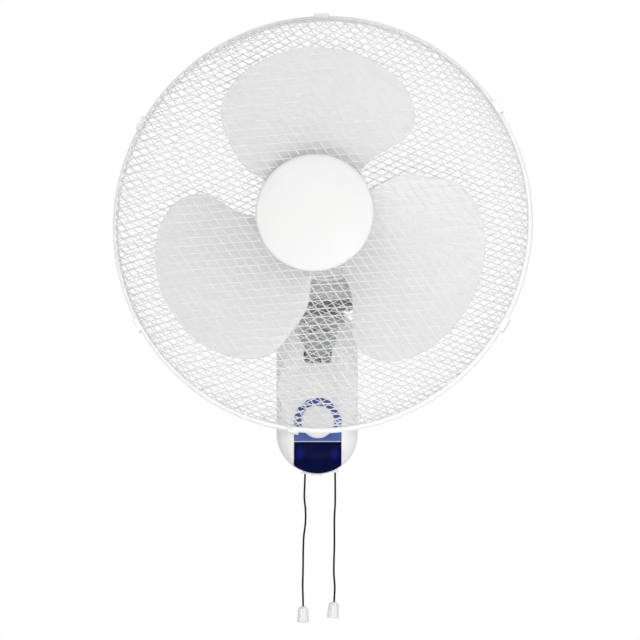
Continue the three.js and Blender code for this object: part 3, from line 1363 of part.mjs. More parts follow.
function bladeSection(radius) {
  const [from, to] = bladeAngles(radius);
  const middle = BLADE_MIDDLE + BLADE_RAKE * (radius / BLADE_TIP) ** 2;
  const front = [];
  const back = [];
  for (let i = 0; i <= BLADE_CHORDS; i += 1) {
    const angle = (from + (to - from) * (i / BLADE_CHORDS)) * RADIANS;
    const height = middle + BLADE_LEAD * angle;
    const x = radius * Math.cos(angle);
    const y = radius * Math.sin(angle);
    front.push(new THREE.Vector3(x, y, height + BLADE_THICK / 2));
    back.unshift(new THREE.Vector3(x, y, height - BLADE_THICK / 2));
  }
  return [...back, ...front];
}

// A blade is skinned over its sections. Its two ends are closed chord by chord, because a
// section is a bent strip.
function blade() {
  const loops = BLADE_STATIONS.map((share) => bladeSection(share * BLADE_TIP));
  const count = loops[0].length;
  const positions = loops.flat().flatMap((point) => [point.x, point.y, point.z]);
  const faces = [];
  for (let row = 0; row < loops.length - 1; row += 1) {
    for (let i = 0; i < count; i += 1) {
      const a = row * count + i;
      const b = row * count + (i + 1) % count;
      faces.push(a, b + count, b, a, a + count, b + count);
    }
  }
  const last = (loops.length - 1) * count;
  for (let i = 0; i < BLADE_CHORDS; i += 1) {
    const mate = count - 1 - i;
    faces.push(i, i + 1, mate, i + 1, mate - 1, mate);
    faces.push(last + i, last + mate, last + i + 1, last + i + 1, last + mate, last + mate - 1);
  }
  const geometry = new THREE.BufferGeometry();
  geometry.setAttribute('position', new THREE.Float32BufferAttribute(positions, 3));
  geometry.setIndex(faces);
  return solid(geometry);
}

function bladeSet() {
  const wall = 3;
  const hub = turned([
    [SHAFT_RADIUS + RUNNING, HUB_BACK], [SHAFT_RADIUS + 6, HUB_BACK],
    [SHAFT_RADIUS + 6, HUB_FRONT - 8], [HUB_RADIUS - wall, HUB_FRONT - 8],
    [HUB_RADIUS - wall, HUB_BACK + 2], [HUB_RADIUS, HUB_BACK + 2], [HUB_RADIUS, HUB_FRONT - 4],
    [HUB_RADIUS - 4, HUB_FRONT], [SHAFT_RADIUS + RUNNING, HUB_FRONT],
    [SHAFT_RADIUS + RUNNING, HUB_BACK],
  ], 20);
  const blades = [];
  for (let i = 0; i < BLADE_COUNT; i += 1) {
    blades.push(blade().rotate([0, 0, i * 360 / BLADE_COUNT]));
  }
  const hollow = tubeZ(SHAFT_RADIUS + 6, HUB_RADIUS - wall, HUB_BACK - 20, HUB_FRONT - 8, 20);
  const bore = rodZ(SHAFT_RADIUS + RUNNING, HUB_BACK - 1, HUB_FRONT + 1, 0, 0, 20);
  const pinSlot = box(-SHAFT_RADIUS - 7, SHAFT_RADIUS + 7, -DRIVE_PIN_RADIUS - GAP,
    DRIVE_PIN_RADIUS + GAP, HUB_BACK - 1, DRIVE_PIN_Z + DRIVE_PIN_RADIUS + GAP);
  return cut(joined(hub, ...blades), hollow, bore, pinSlot);
}

function drivePin() {
  return rodX(DRIVE_PIN_RADIUS, -SHAFT_RADIUS - 5, SHAFT_RADIUS + 5, 0, DRIVE_PIN_Z, 12);
}

function spinnerNut() {
  const back = HUB_FRONT + GAP;
  const front = back + NUT_LENGTH;
  const bore = SHAFT_RADIUS + RUNNING;
  const profile = [
    [bore, back], [NUT_RADIUS, back], [NUT_RADIUS, front - 4], [NUT_RADIUS - 3, front - 1],
    [NUT_RADIUS - 8, front], [0, front], [0, front - 2], [bore, front - 2], [bore, back],
  ];
  return turned(profile, 16);
}

piece(spin, 'motor_shaft', motorShaft(), STEEL);
piece(spin, 'rotor', rotor(), LAMINATION);
piece(spin, 'blade_set', bladeSet(), BLADE_PLASTIC);
piece(spin, 'drive_pin', drivePin(), STEEL);
piece(spin, 'spinner_nut', spinnerNut(), BLADE_PLASTIC);

export default fan;
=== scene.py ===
# %% [markdown]
# # A wall fan with a fine wire guard
#
# The fan hangs on a wall. A rounded housing with a blue panel carries a short tilting neck,
# and on the neck sits the head: a motor under a white cover, three broad blades, and a guard
# made of two domed wire meshes that meet in a round rim. Two cords hang from the housing.
# The imported model is loaded first.

# %% Load the imported model
import math
import bpy
from mathutils import Matrix, Vector


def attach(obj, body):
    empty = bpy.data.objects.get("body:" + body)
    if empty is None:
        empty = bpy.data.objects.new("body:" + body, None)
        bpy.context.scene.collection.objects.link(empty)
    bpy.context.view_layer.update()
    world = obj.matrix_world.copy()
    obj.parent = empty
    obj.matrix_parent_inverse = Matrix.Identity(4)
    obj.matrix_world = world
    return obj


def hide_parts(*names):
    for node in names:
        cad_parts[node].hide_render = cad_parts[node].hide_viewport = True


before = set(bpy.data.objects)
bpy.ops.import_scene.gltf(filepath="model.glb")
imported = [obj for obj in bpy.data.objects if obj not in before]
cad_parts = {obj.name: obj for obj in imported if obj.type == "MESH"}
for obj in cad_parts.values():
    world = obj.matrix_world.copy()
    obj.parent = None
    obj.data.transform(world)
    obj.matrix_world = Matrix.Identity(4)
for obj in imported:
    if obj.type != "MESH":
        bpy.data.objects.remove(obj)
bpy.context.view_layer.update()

MM = 0.001
scene = bpy.context.scene
scene.view_settings.view_transform = "Standard"

# %% [markdown]
# The photograph was taken from far away, straight in front, so near and far parts keep almost
# the same scale. A long lens at nine metres gives that. The camera stands a little to the left
# and a little low, because the cap sits slightly right of where the head's axis points.

# %% Camera
CAMERA_DISTANCE = 9.0
CAMERA_AZIMUTH = math.radians(-0.925)
CAMERA_HEIGHT = math.radians(-0.381)
CAMERA_TARGET = Vector((0.00128, -0.150, 0.07226))
PIXELS_PER_TANGENT = 8561.4

level = math.cos(CAMERA_HEIGHT)
away = Vector((math.sin(CAMERA_AZIMUTH) * level, -math.cos(CAMERA_AZIMUTH) * level,
               math.sin(CAMERA_HEIGHT)))
lens = bpy.data.cameras.new("photo_camera")
lens.sensor_width = 36.0
lens.lens = PIXELS_PER_TANGENT * lens.sensor_width / 640
lens.clip_end = 60
camera = bpy.data.objects.new("photo_camera", lens)
scene.collection.objects.link(camera)
camera.location = CAMERA_TARGET + away * CAMERA_DISTANCE
camera.rotation_euler = away.to_track_quat("Z", "Y").to_euler()
scene.camera = camera
print("camera", [round(c, 3) for c in camera.location], "lens", round(lens.lens, 1))

# %% [markdown]
# The head is turned up by 8 degrees and to the left by 7. Every piece of the head is modelled
# straight on, with X to the right, Y up and Z towards the viewer, and then placed by one matrix.
# The matrices repeat the chain of the real mechanism: wall, hinge, neck, swivel, fan axis.

# %% Places of the housing, the neck and the head
HINGE_UP, HINGE_OUT = 44.5, 66.0
PAN_REACH, HEAD_RISE, RIM_REACH, MOTOR_OFFSET = 92.0, 105.0, 76.0, 12.0
REST_TILT, REST_PAN = 8.0, 7.0


def shift(x, y, z):
    return Matrix.Translation(Vector((x, y, z)) * MM)


def spun(degrees, axis):
    return Matrix.Rotation(math.radians(degrees), 4, axis)


WALL = spun(90, "X")
HINGE = WALL @ shift(0, HINGE_UP, HINGE_OUT)
NECK = HINGE @ spun(-REST_TILT, "X")
SWIVEL = NECK @ shift(0, 0, PAN_REACH) @ spun(-REST_PAN, "Y")
HEAD = SWIVEL @ shift(MOTOR_OFFSET, HEAD_RISE, RIM_REACH)
print("rim centre", [round(c, 4) for c in HEAD.translation])

# %% [markdown]
# Materials come next, so that each piece can take its finish as soon as it is made. Moulded
# plastic is never quite even: its gloss wanders a little, and a fine grain breaks the highlight.
# One node group gives both, and each plastic sets its own strength.

# %% A node group for moulded plastic
def new_group(name, inputs, outputs):
    group = bpy.data.node_groups.new(name, "ShaderNodeTree")
    for label, kind, value in inputs:
        socket = group.interface.new_socket(name=label, in_out="INPUT", socket_type=kind)
        socket.default_value = value
    for label, kind in outputs:
        group.interface.new_socket(name=label, in_out="OUTPUT", socket_type=kind)
    return group, group.nodes.new("NodeGroupInput"), group.nodes.new("NodeGroupOutput")


def moulded_group():
    group, start, end = new_group(
        "moulded surface",
        [("Colour", "NodeSocketColor", (0.8, 0.8, 0.8, 1)),
         ("Roughness", "NodeSocketFloat", 0.4),
         ("Unevenness", "NodeSocketFloat", 0.06),
         ("Grain Scale", "NodeSocketFloat", 900.0)],
        [("Colour", "NodeSocketColor"), ("Roughness", "NodeSocketFloat"),
         ("Height", "NodeSocketFloat")])
    nodes, links = group.nodes, group.links
    place = nodes.new("ShaderNodeTexCoord")
    broad = nodes.new("ShaderNodeTexNoise")
    broad.inputs["Scale"].default_value = 22
    broad.inputs["Detail"].default_value = 3
    links.new(place.outputs["Object"], broad.inputs["Vector"])
    fine = nodes.new("ShaderNodeTexNoise")
    fine.inputs["Detail"].default_value = 2
    links.new(place.outputs["Object"], fine.inputs["Vector"])
    links.new(start.outputs["Grain Scale"], fine.inputs["Scale"])
    centred = nodes.new("ShaderNodeMath")
    centred.operation = "SUBTRACT"
    centred.inputs[1].default_value = 0.5
    links.new(broad.outputs["Fac"], centred.inputs[0])
    wander = nodes.new("ShaderNodeMath")
    wander.operation = "MULTIPLY_ADD"
    links.new(centred.outputs[0], wander.inputs[0])
    links.new(start.outputs["Unevenness"], wander.inputs[1])
    links.new(start.outputs["Roughness"], wander.inputs[2])
    links.new(wander.outputs[0], end.inputs["Roughness"])
    value = nodes.new("ShaderNodeMath")
    value.operation = "MULTIPLY_ADD"
    value.inputs[1].default_value = 0.04
    value.inputs[2].default_value = 1.0
    links.new(centred.outputs[0], value.inputs[0])
    tone = nodes.new("ShaderNodeVectorMath")
    tone.operation = "SCALE"
    links.new(start.outputs["Colour"], tone.inputs[0])
    links.new(value.outputs[0], tone.inputs["Scale"])
    links.new(tone.outputs["Vector"], end.inputs["Colour"])
    links.new(fine.outputs["Fac"], end.inputs["Height"])
    return group


MOULDED = moulded_group()


def plastic(name, colour, roughness, unevenness=0.06, grain=900.0, bump=0.02, specular=0.5):
    material = bpy.data.materials.new(name)
    material.use_nodes = True
    nodes, links = material.node_tree.nodes, material.node_tree.links
    shader = nodes["Principled BSDF"]
    surface = nodes.new("ShaderNodeGroup")
    surface.node_tree = MOULDED
    surface.inputs["Colour"].default_value = (*colour, 1)
    surface.inputs["Roughness"].default_value = roughness
    surface.inputs["Unevenness"].default_value = unevenness
    surface.inputs["Grain Scale"].default_value = grain
    relief = nodes.new("ShaderNodeBump")
    relief.inputs["Strength"].default_value = bump
    relief.inputs["Distance"].default_value = 0.0002
    links.new(surface.outputs["Colour"], shader.inputs["Base Color"])
    links.new(surface.outputs["Roughness"], shader.inputs["Roughness"])
    links.new(surface.outputs["Height"], relief.inputs["Height"])
    links.new(relief.outputs["Normal"], shader.inputs["Normal"])
    shader.inputs["Specular IOR Level"].default_value = specular
    return material


HOUSING_WHITE = plastic("housing white", (0.9, 0.9, 0.89), 0.36)
CAP_WHITE = plastic("cap white", (0.83, 0.83, 0.825), 0.5, specular=0.3)
BLADE_GREY = plastic("blade grey", (0.82, 0.82, 0.82), 0.45, grain=600.0)
PANEL_BLUE = plastic("panel blue", (0.044, 0.100, 0.35), 0.45, grain=1500.0,
                     specular=0.25)
WINDOW_NAVY = plastic("window navy", (0.003, 0.0055, 0.042), 0.25, unevenness=0.03,
                      grain=1500.0, bump=0.005, specular=0.005)
# The motor cover is white plastic. This darker grey is painted shade, for the shadow that the guard,
# blades and cap cast on it.
MOTOR_COVER_SHADED_WHITE = plastic("motor cover white with painted shade", (0.62, 0.625, 0.605), 0.42)
NECK_GREY = plastic("neck grey", (0.40, 0.41, 0.405), 0.5, bump=0.06)
BLACK_PLASTIC = plastic("black plastic", (0.012, 0.012, 0.013), 0.6, bump=0.08, specular=0.3)
SWITCH_GREY = plastic("switch grey", (0.4, 0.41, 0.4), 0.5)
print("plastics made:", len(bpy.data.materials))

# %% [markdown]
# The dark window isn't one even colour: a clearer blue shows softly at its left and right. In
# the photograph these are reflections. Here they are painted, by the distance from a place on
# each side, so they stay in any light and from any side.

# %% Painted reflections in the window
# Colour, places and fade of the painted reflections, left and right.
REFLECTION_BLUE = (0.008, 0.013, 0.16)
PATCH_MIDDLE, PATCH_FADE = (18.5, 69), (7, 9)


def paint_reflections(material, middle, fade_width, colour):
    """Two soft painted reflections, mirrored left and right; middle and fade_width are across and
    down.
    """
    nodes, links = material.node_tree.nodes, material.node_tree.links
    place = nodes.new("ShaderNodeTexCoord")
    parts = nodes.new("ShaderNodeSeparateXYZ")
    links.new(place.outputs["Object"], parts.inputs[0])
    factors = []
    for axis, centre, width in zip("XZ", middle, fade_width):
        mirrored = nodes.new("ShaderNodeMath")
        mirrored.operation = "ABSOLUTE"
        links.new(parts.outputs[axis], mirrored.inputs[0])
        apart = nodes.new("ShaderNodeMath")
        apart.operation = "SUBTRACT"
        apart.inputs[1].default_value = centre * MM
        links.new(mirrored.outputs[0], apart.inputs[0])
        distance = nodes.new("ShaderNodeMath")
        distance.operation = "ABSOLUTE"
        links.new(apart.outputs[0], distance.inputs[0])
        fade = nodes.new("ShaderNodeMapRange")
        fade.interpolation_type = "SMOOTHSTEP"
        fade.inputs["From Max"].default_value = width * MM
        fade.inputs["To Min"].default_value = 1.0
        fade.inputs["To Max"].default_value = 0.0
        links.new(distance.outputs[0], fade.inputs["Value"])
        factors.append(fade.outputs["Result"])
    both = nodes.new("ShaderNodeMath")
    both.operation = "MULTIPLY"
    links.new(factors[0], both.inputs[0])
    links.new(factors[1], both.inputs[1])
    blend = nodes.new("ShaderNodeMix")
    blend.data_type = "RGBA"
    links.new(both.outputs[0], blend.inputs["Factor"])
    base_colour = nodes["Principled BSDF"].inputs["Base Color"]
    links.new(base_colour.links[0].from_socket, blend.inputs["A"])
    blend.inputs["B"].default_value = (*colour, 1)
    links.new(blend.outputs["Result"], base_colour)


paint_reflections(WINDOW_NAVY, PATCH_MIDDLE, PATCH_FADE, REFLECTION_BLUE)
print("window nodes:", len(WINDOW_NAVY.node_tree.nodes))

# %% [markdown]
# The guard's wires and the rim carry a baked white coating, which is smoother than the plastic
# but has a slight orange peel. The rear mesh stands in the shade of the front one and of the
# blades, so it looks greyer in the photograph, though its coating is nearly the same.

# %% Coated wire and metals
def coated(name, colour, roughness):
    return plastic(name, colour, roughness, unevenness=0.1, grain=450.0, bump=0.04)


def metal(name, colour, roughness, scratches=1.0, stretch=(1, 1, 1)):
    material = bpy.data.materials.new(name)
    material.use_nodes = True
    nodes, links = material.node_tree.nodes, material.node_tree.links
    shader = nodes["Principled BSDF"]
    shader.inputs["Base Color"].default_value = (*colour, 1)
    shader.inputs["Metallic"].default_value = 1.0
    place = nodes.new("ShaderNodeTexCoord")
    turn = nodes.new("ShaderNodeMapping")
    turn.inputs["Scale"].default_value = stretch
    grain = nodes.new("ShaderNodeTexNoise")
    grain.inputs["Scale"].default_value = 320
    grain.inputs["Detail"].default_value = 4
    spread = nodes.new("ShaderNodeMapRange")
    spread.inputs["To Min"].default_value = roughness - 0.08 * scratches
    spread.inputs["To Max"].default_value = roughness + 0.1 * scratches
    links.new(place.outputs["Object"], turn.inputs["Vector"])
    links.new(turn.outputs["Vector"], grain.inputs["Vector"])
    links.new(grain.outputs["Fac"], spread.inputs["Value"])
    links.new(spread.outputs["Result"], shader.inputs["Roughness"])
    relief = nodes.new("ShaderNodeBump")
    relief.inputs["Strength"].default_value = 0.08 * scratches
    relief.inputs["Distance"].default_value = 0.0002
    links.new(grain.outputs["Fac"], relief.inputs["Height"])
    links.new(relief.outputs["Normal"], shader.inputs["Normal"])
    return material


FRONT_WIRE_WHITE = coated("front wire white", (0.84, 0.84, 0.84), 0.45)
REAR_WIRE_GREY = coated("rear wire grey", (0.84, 0.845, 0.845), 0.4)
RIM_WHITE = coated("rim white", (0.94, 0.945, 0.94), 0.4)
ZINC = metal("zinc plate", (0.6, 0.61, 0.62), 0.34)
CASTING = metal("die casting", (0.45, 0.455, 0.46), 0.55, scratches=2.0)
LAMINATION = metal("steel laminations", (0.22, 0.215, 0.21), 0.45, stretch=(1, 30, 1))
COPPER = metal("copper winding", (0.6, 0.28, 0.12), 0.4, stretch=(1, 12, 1))
BRONZE = metal("bearing bronze", (0.45, 0.33, 0.16), 0.4)
print("finishes made:", len(bpy.data.materials))

# %% [markdown]
# A few helpers keep the modelling cells short. One deselects everything, because the loaded
# model leaves its nodes selected. One picks vertices, edges or faces by their place. One cuts a
# piece with another and throws the cutter away. The last applies a piece's place to its mesh,
# so that its object sits at the origin as a node of the model does.

# %% Helpers for picking, cutting and settling
def fresh():
    if bpy.context.object and bpy.context.object.mode != "OBJECT":
        bpy.ops.object.mode_set(mode="OBJECT")
    bpy.ops.object.select_all(action="DESELECT")


def named(name):
    piece = bpy.context.object
    piece.name = name
    piece.data.name = name
    return piece


def hold(piece):
    fresh()
    piece.select_set(True)
    bpy.context.view_layer.objects.active = piece


def pick(piece, kind, test):
    bpy.ops.object.mode_set(mode="EDIT")
    bpy.ops.mesh.select_mode(type=kind)
    bpy.ops.mesh.select_all(action="DESELECT")
    bpy.ops.object.mode_set(mode="OBJECT")
    mesh = piece.data
    for item in {"VERT": mesh.vertices, "EDGE": mesh.edges, "FACE": mesh.polygons}[kind]:
        item.select = test(item)
    bpy.ops.object.mode_set(mode="EDIT")


def carve(piece, tool, operation="DIFFERENCE"):
    hold(piece)
    cutter = piece.modifiers.new("cut", "BOOLEAN")
    cutter.operation = operation
    cutter.object = tool
    bpy.ops.object.modifier_apply(modifier=cutter.name)
    bpy.data.objects.remove(tool, do_unlink=True)
    return piece


def soften(piece, width, segments=2, angle=35):
    hold(piece)
    round_edges = piece.modifiers.new("soft edges", "BEVEL")
    round_edges.width = width * MM
    round_edges.segments = segments
    round_edges.limit_method = "ANGLE"
    round_edges.angle_limit = math.radians(angle)
    bpy.ops.object.modifier_apply(modifier=round_edges.name)
    return piece


def settle(piece, place=None, smooth=35):
    hold(piece)
    bpy.ops.object.transform_apply(location=True, rotation=True, scale=True)
    if place is not None:
        piece.data.transform(place)
    bpy.ops.object.shade_smooth_by_angle(angle=math.radians(smooth))
    return piece


def dress(piece, body, material, slot, *nodes):
    piece.data.materials.clear()
    piece.data.materials.append(material)
    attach(piece, body)
    if nodes:
        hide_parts(*nodes)
    return piece


# %% [markdown]
# Round parts are turned, as on a lathe. A circle is the start, and each step of the profile
# extrudes it along the axis and resizes it. A profile that comes back to its start is a ring,
# whose last loop is merged with the first.

# %% Helper for turned pieces
def turned(name, profile, sides=64):
    fresh()
    ring = profile[0] == profile[-1]
    radius, height = profile[0]
    bpy.ops.mesh.primitive_circle_add(
        vertices=sides, radius=radius * MM, fill_type="NOTHING" if ring else "NGON",
        location=(0, 0, height * MM))
    piece = named(name)
    bpy.ops.object.transform_apply(location=True)
    bpy.ops.object.mode_set(mode="EDIT")
    bpy.ops.mesh.select_mode(type="VERT")
    bpy.ops.mesh.select_all(action="SELECT")
    for (r0, z0), (r1, z1) in zip(profile, profile[1:]):
        bpy.ops.mesh.extrude_region_move(
            TRANSFORM_OT_translate={"value": (0, 0, (z1 - z0) * MM)})
        bpy.ops.transform.resize(value=(r1 / r0, r1 / r0, 1),
                                 center_override=(0, 0, z1 * MM))
    bpy.ops.mesh.select_all(action="SELECT")
    if ring:
        bpy.ops.mesh.remove_doubles(threshold=1e-6)
    bpy.ops.mesh.normals_make_consistent(inside=False)
    bpy.ops.object.mode_set(mode="OBJECT")
    return piece


def rod(name, radius, low, high, x=0.0, y=0.0, sides=32):
    piece = turned(name, [(radius, low), (radius, high)], sides)
    piece.location.x = x * MM
    piece.location.y = y * MM
    return piece


def block(name, low, high):
    fresh()
    bpy.ops.mesh.primitive_cube_add(
        size=1, location=[(a + b) / 2 * MM for a, b in zip(low, high)],
        scale=[(b - a) * MM for a, b in zip(low, high)])
    bpy.ops.object.transform_apply(location=True, scale=True)
    return named(name)


# %% [markdown]
# ## Pull cords
#
# Two thin braided cords hang from the housing, each with a small white pull. They are limp, so
# they hang nearly straight, with the slight waves that the packing left. The route's points are
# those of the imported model, in millimetres.

# %% Cords
CORD_OUT = 48.0
LEFT_ROUTE = [
    (-13, -77), (-13, -83), (-13, -92), (-13.4, -104), (-13.7, -116), (-12.5, -129),
    (-12.6, -143), (-14.2, -156), (-14.8, -168), (-15, -182), (-15.2, -197),
    (-15.5, -209), (-15.2, -221), (-15, -232), (-15, -237)]
RIGHT_ROUTE = [
    (19, -77), (19, -83), (19, -92), (19.1, -106), (19, -123), (18.3, -136),
    (18.2, -149), (18.2, -167), (17.8, -182), (17.7, -197), (18.6, -211),
    (18.2, -221), (17.9, -227), (17.4, -232)]
CORD_BLACK = plastic("cord black", (0.006, 0.006, 0.006), 0.85, grain=2500.0, bump=0.5,
                     specular=0.2)


def pull_cord(side, route):
    curve = bpy.data.curves.new(f"cord_{side}", "CURVE")
    curve.dimensions = "3D"
    curve.bevel_depth = 1.0 * MM
    curve.bevel_resolution = 3
    curve.use_fill_caps = True
    curve.resolution_u = 8
    line = curve.splines.new("BEZIER")
    line.bezier_points.add(len(route) - 1)
    for point, (x, y) in zip(line.bezier_points, route):
        point.co = WALL @ Vector((x * MM, y * MM, CORD_OUT * MM))
        point.handle_left_type = point.handle_right_type = "AUTO"
    cord = bpy.data.objects.new(f"cord_{side}", curve)
    scene.collection.objects.link(cord)
    return cord


def cord_length(route):
    return MM * sum(math.dist(a, b) for a, b in zip(route, route[1:]))


print("cords", [round(cord_length(r), 4) for r in (LEFT_ROUTE, RIGHT_ROUTE)])

# %% [markdown]
# ## Housing
#
# The housing is an upright oblong with round ends. A real one is moulded in two halves, and so
# is this one: a flat rear shell and a deep front shell with a wide, softly rounded edge. The
# outline starts as a circle. Its upper half moves up, its lower half moves down, and the ring is
# then extruded towards the front and drawn in along a quarter of an ellipse.

# %% Helper for the housing's oblong forms
def oblong_form(name, offset, levels, sides=96):
    """A solid with round ends; levels are [depth, how far its edge is drawn in]."""
    fresh()
    radius, middle = HALF_WIDTH + offset, HALF_HEIGHT - HALF_WIDTH
    bpy.ops.mesh.primitive_circle_add(
        vertices=sides, radius=radius * MM, fill_type="NGON", location=(0, 0, 0))
    piece = named(name)
    for side in (1, -1):
        pick(piece, "VERT", lambda v: v.co.y * side > 1e-6)
        bpy.ops.transform.translate(value=(0, side * middle * MM, 0))
        bpy.ops.object.mode_set(mode="OBJECT")
    pick(piece, "FACE", lambda f: True)
    bpy.ops.transform.translate(value=(0, 0, levels[0][0] * MM))
    for (z0, in0), (z1, in1) in zip(levels, levels[1:]):
        bpy.ops.mesh.extrude_region_move(
            TRANSFORM_OT_translate={"value": (0, 0, (z1 - z0) * MM)})
        if abs(in1 - in0) > 1e-6:
            bpy.ops.object.mode_set(mode="OBJECT")
            scale = (radius - in1) / (radius - in0)
            for side in (1, -1):
                pick(piece, "VERT", lambda v: v.co.z > (z1 - 1e-3) * MM
                     and v.co.y * side > 1e-6)
                bpy.ops.transform.resize(value=(scale, scale, 1),
                                         center_override=(0, side * middle * MM, 0))
                bpy.ops.object.mode_set(mode="OBJECT")
            pick(piece, "FACE", lambda f: f.center.z > (z1 - 1e-3) * MM)
    bpy.ops.mesh.select_all(action="SELECT")
    bpy.ops.mesh.normals_make_consistent(inside=False)
    bpy.ops.object.mode_set(mode="OBJECT")
    return piece


HALF_WIDTH, HALF_HEIGHT = 43.0, 91.0
HOUSING_FRONT, EDGE_WIDTH, EDGE_DEPTH = 80.0, 18.0, 20.0
SHELL_SPLIT, WALL_THICK = 26.0, 2.4


def rounded_levels(offset, low, steps=12):
    levels = [(low, 0.0), (HOUSING_FRONT - EDGE_DEPTH, 0.0)]
    for i in range(1, steps + 1):
        turn = math.pi / 2 * i / steps
        levels.append((HOUSING_FRONT - EDGE_DEPTH + (EDGE_DEPTH + offset) * math.sin(turn),
                       (EDGE_WIDTH + offset) * (1 - math.cos(turn))))
    return levels


def rounded_box(name, half_x, half_y, corner, low, high, y=0.0, segments=8):
    tool = block(name, (-half_x, -half_y, low), (half_x, half_y, high))
    pick(tool, "EDGE", lambda e: all(
        abs(abs(tool.data.vertices[v].co.x) - half_x * MM) < 1e-6
        and abs(abs(tool.data.vertices[v].co.y) - half_y * MM) < 1e-6 for v in e.vertices)
        and abs(tool.data.vertices[e.vertices[0]].co.z
                - tool.data.vertices[e.vertices[1]].co.z) > 1e-6)
    bpy.ops.mesh.bevel(offset=corner * MM, segments=segments)
    bpy.ops.object.mode_set(mode="OBJECT")
    tool.location.y = y * MM
    return tool


front_shell = oblong_form("front_shell_body", 0, rounded_levels(0, SHELL_SPLIT + 0.3))
carve(front_shell, oblong_form("front_hollow", -WALL_THICK,
                               rounded_levels(-WALL_THICK, SHELL_SPLIT - 1)))
print("front shell faces", len(front_shell.data.polygons))

# %% [markdown]
# The neck passes through a tall slot in the front face, so the head can tilt. The photograph
# shows no open slot under the neck, so this one is cut close: it is shorter and narrower than
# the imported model's, and just lets the neck by at the end of the tilt. The panel lies in
# a shallow recess that follows the curved front. The recess is cut with an arch-shaped block
# from which the housing's own form, shrunk by 1.2 mm, has been taken away. Two flats on the
# underside carry the bushes of the cords.

# %% Front shell: slot, recess, cord holes
PANEL_Y, PANEL_HALF, PANEL_FOOT = -35.0, 25.15, 41.8


def arch_block(name, grow, low, high):
    arch = turned(name, [(PANEL_HALF + grow, low), (PANEL_HALF + grow, high)], 96)
    pick(arch, "VERT", lambda v: v.co.y < -1e-6)
    bpy.ops.transform.translate(value=(0, -60 * MM, 0))
    bpy.ops.object.mode_set(mode="OBJECT")
    arch.location.y = PANEL_Y * MM
    foot = rod("foot", PANEL_FOOT + grow, low - 1, high + 1, 0,
               -(HALF_HEIGHT - HALF_WIDTH), 160)
    return carve(arch, foot, "INTERSECT")


def upright_rod(name, radius, low, high, x, z, sides=32):
    tool = turned(name, [(radius, low), (radius, high)], sides)
    tool.matrix_world = shift(x, 0, z) @ spun(-90, "X")
    return tool


CORD_X = {"left": -13.0, "right": 19.0}
CORD_SEAT = {"left": -88.89, "right": -87.33}

SLOT_HALF, SLOT_LOW, SLOT_HIGH, SLOT_CORNER = 14.9, 27.5, 70.0, 4
carve(front_shell, rounded_box("slot", SLOT_HALF, (SLOT_HIGH - SLOT_LOW) / 2, SLOT_CORNER,
                               55, 90, y=(SLOT_LOW + SLOT_HIGH) / 2))
recess = arch_block("recess", 0.3, 55, 90)
carve(recess, oblong_form("under_panel", -1.2, rounded_levels(-1.2, 40)))
carve(front_shell, recess)
for side in ("left", "right"):
    carve(front_shell, upright_rod("hole", 3.3, -95, -75, CORD_X[side], CORD_OUT))
    carve(front_shell, upright_rod("spot", 5.2, -95, CORD_SEAT[side], CORD_X[side], CORD_OUT))
soften(front_shell, 0.35)
settle(front_shell, WALL)
dress(front_shell, "housing", HOUSING_WHITE, "white_plastic", "front_shell")
print("front shell faces", len(front_shell.data.polygons))

# %% [markdown]
# The rear shell closes the housing against the wall. It is a shallow tray of the same outline,
# with a round post in each corner for the screws and pegs, two slots for the hooks of the wall
# plate, and a hole below for the mains lead. The posts are joined first and drilled after.

# %% Rear shell: posts, screw wells, hook slots, mains hole
rear_shell = oblong_form("rear_shell_body", 0, [(1.9, 0), (SHELL_SPLIT, 0)])
carve(rear_shell, oblong_form("rear_hollow", -WALL_THICK, [(4.6, 0), (SHELL_SPLIT + 1, 0)]))
for x in (-31, 31):
    for y in (-50, 50):
        carve(rear_shell, rod("post", 6, 1.9, SHELL_SPLIT, x, y), "UNION")
    carve(rear_shell, rod("well", 4.2, 0, 22, x, -50))
    carve(rear_shell, rod("screw_hole", 2.0, 0, SHELL_SPLIT + 1, x, -50))
    carve(rear_shell, rod("anchor", 2.0, 0, 6, x * 21.5 / 31, 32.5))
    side = x / 31
    carve(rear_shell, block("hook_slot", (side * 17 - 7, 58.5, 0), (side * 17 + 7, 68.8, 5.3)))
carve(rear_shell, upright_rod("mains_hole", 4.3, -92, -85, 0, 13))
soften(rear_shell, 0.3)
settle(rear_shell, WALL)
dress(rear_shell, "housing", HOUSING_WHITE, "white_plastic", "rear_shell")
print("rear shell faces", len(rear_shell.data.polygons))

# %% [markdown]
# The panel is a thin curved skin in its recess, in two parts. The upper part is matt light blue,
# the lower one a dark glossy window. Both come from the same block: the arch, common with the
# housing's form grown by 0.6 mm, less the form shrunk by 0.9 mm. One is cut off above the
# dividing line and the other below it.

# %% Panel and window
def panel_skin(name):
    skin = arch_block(name, 0, 50, 95)
    carve(skin, oblong_form("over", 0.6, rounded_levels(0.6, 45)), "INTERSECT")
    return carve(skin, oblong_form("under", -0.9, rounded_levels(-0.9, 40)))


panel = panel_skin("control_panel_skin")
carve(panel, block("below", (-50, -120, 0), (50, -55.55, 100)))
carve(panel, rod("seat", 17.6, 0, 100, 0, PANEL_Y, 96))
soften(panel, 0.4)
settle(panel, WALL)
dress(panel, "housing", PANEL_BLUE, "blue_plastic", "control_panel")

window = panel_skin("window_skin")
carve(window, block("above", (-50, -56.45, 0), (50, 20, 100)))
soften(window, 0.4)
settle(window, WALL)
dress(window, "housing", WINDOW_NAVY, "navy_gloss", "panel_window")

# %% [markdown]
# The round disc on the panel is bare: a turned button with a soft edge and a slightly domed
# face. The small dark mark beside it is a plain index mark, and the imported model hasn't got it.

# %% Disc and index mark
disc = turned("panel_disc", [
    (17.3, 79.1), (17.3, 82.6), (17.15, 83.2), (16.7, 83.6), (15.9, 83.85), (13.5, 84.0),
    (8.6, 84.15), (1.0, 84.2)], 96)
disc.location.y = PANEL_Y * MM
settle(disc, WALL, smooth=50)
dress(disc, "housing", CAP_WHITE, "white_plastic", "panel_boss")

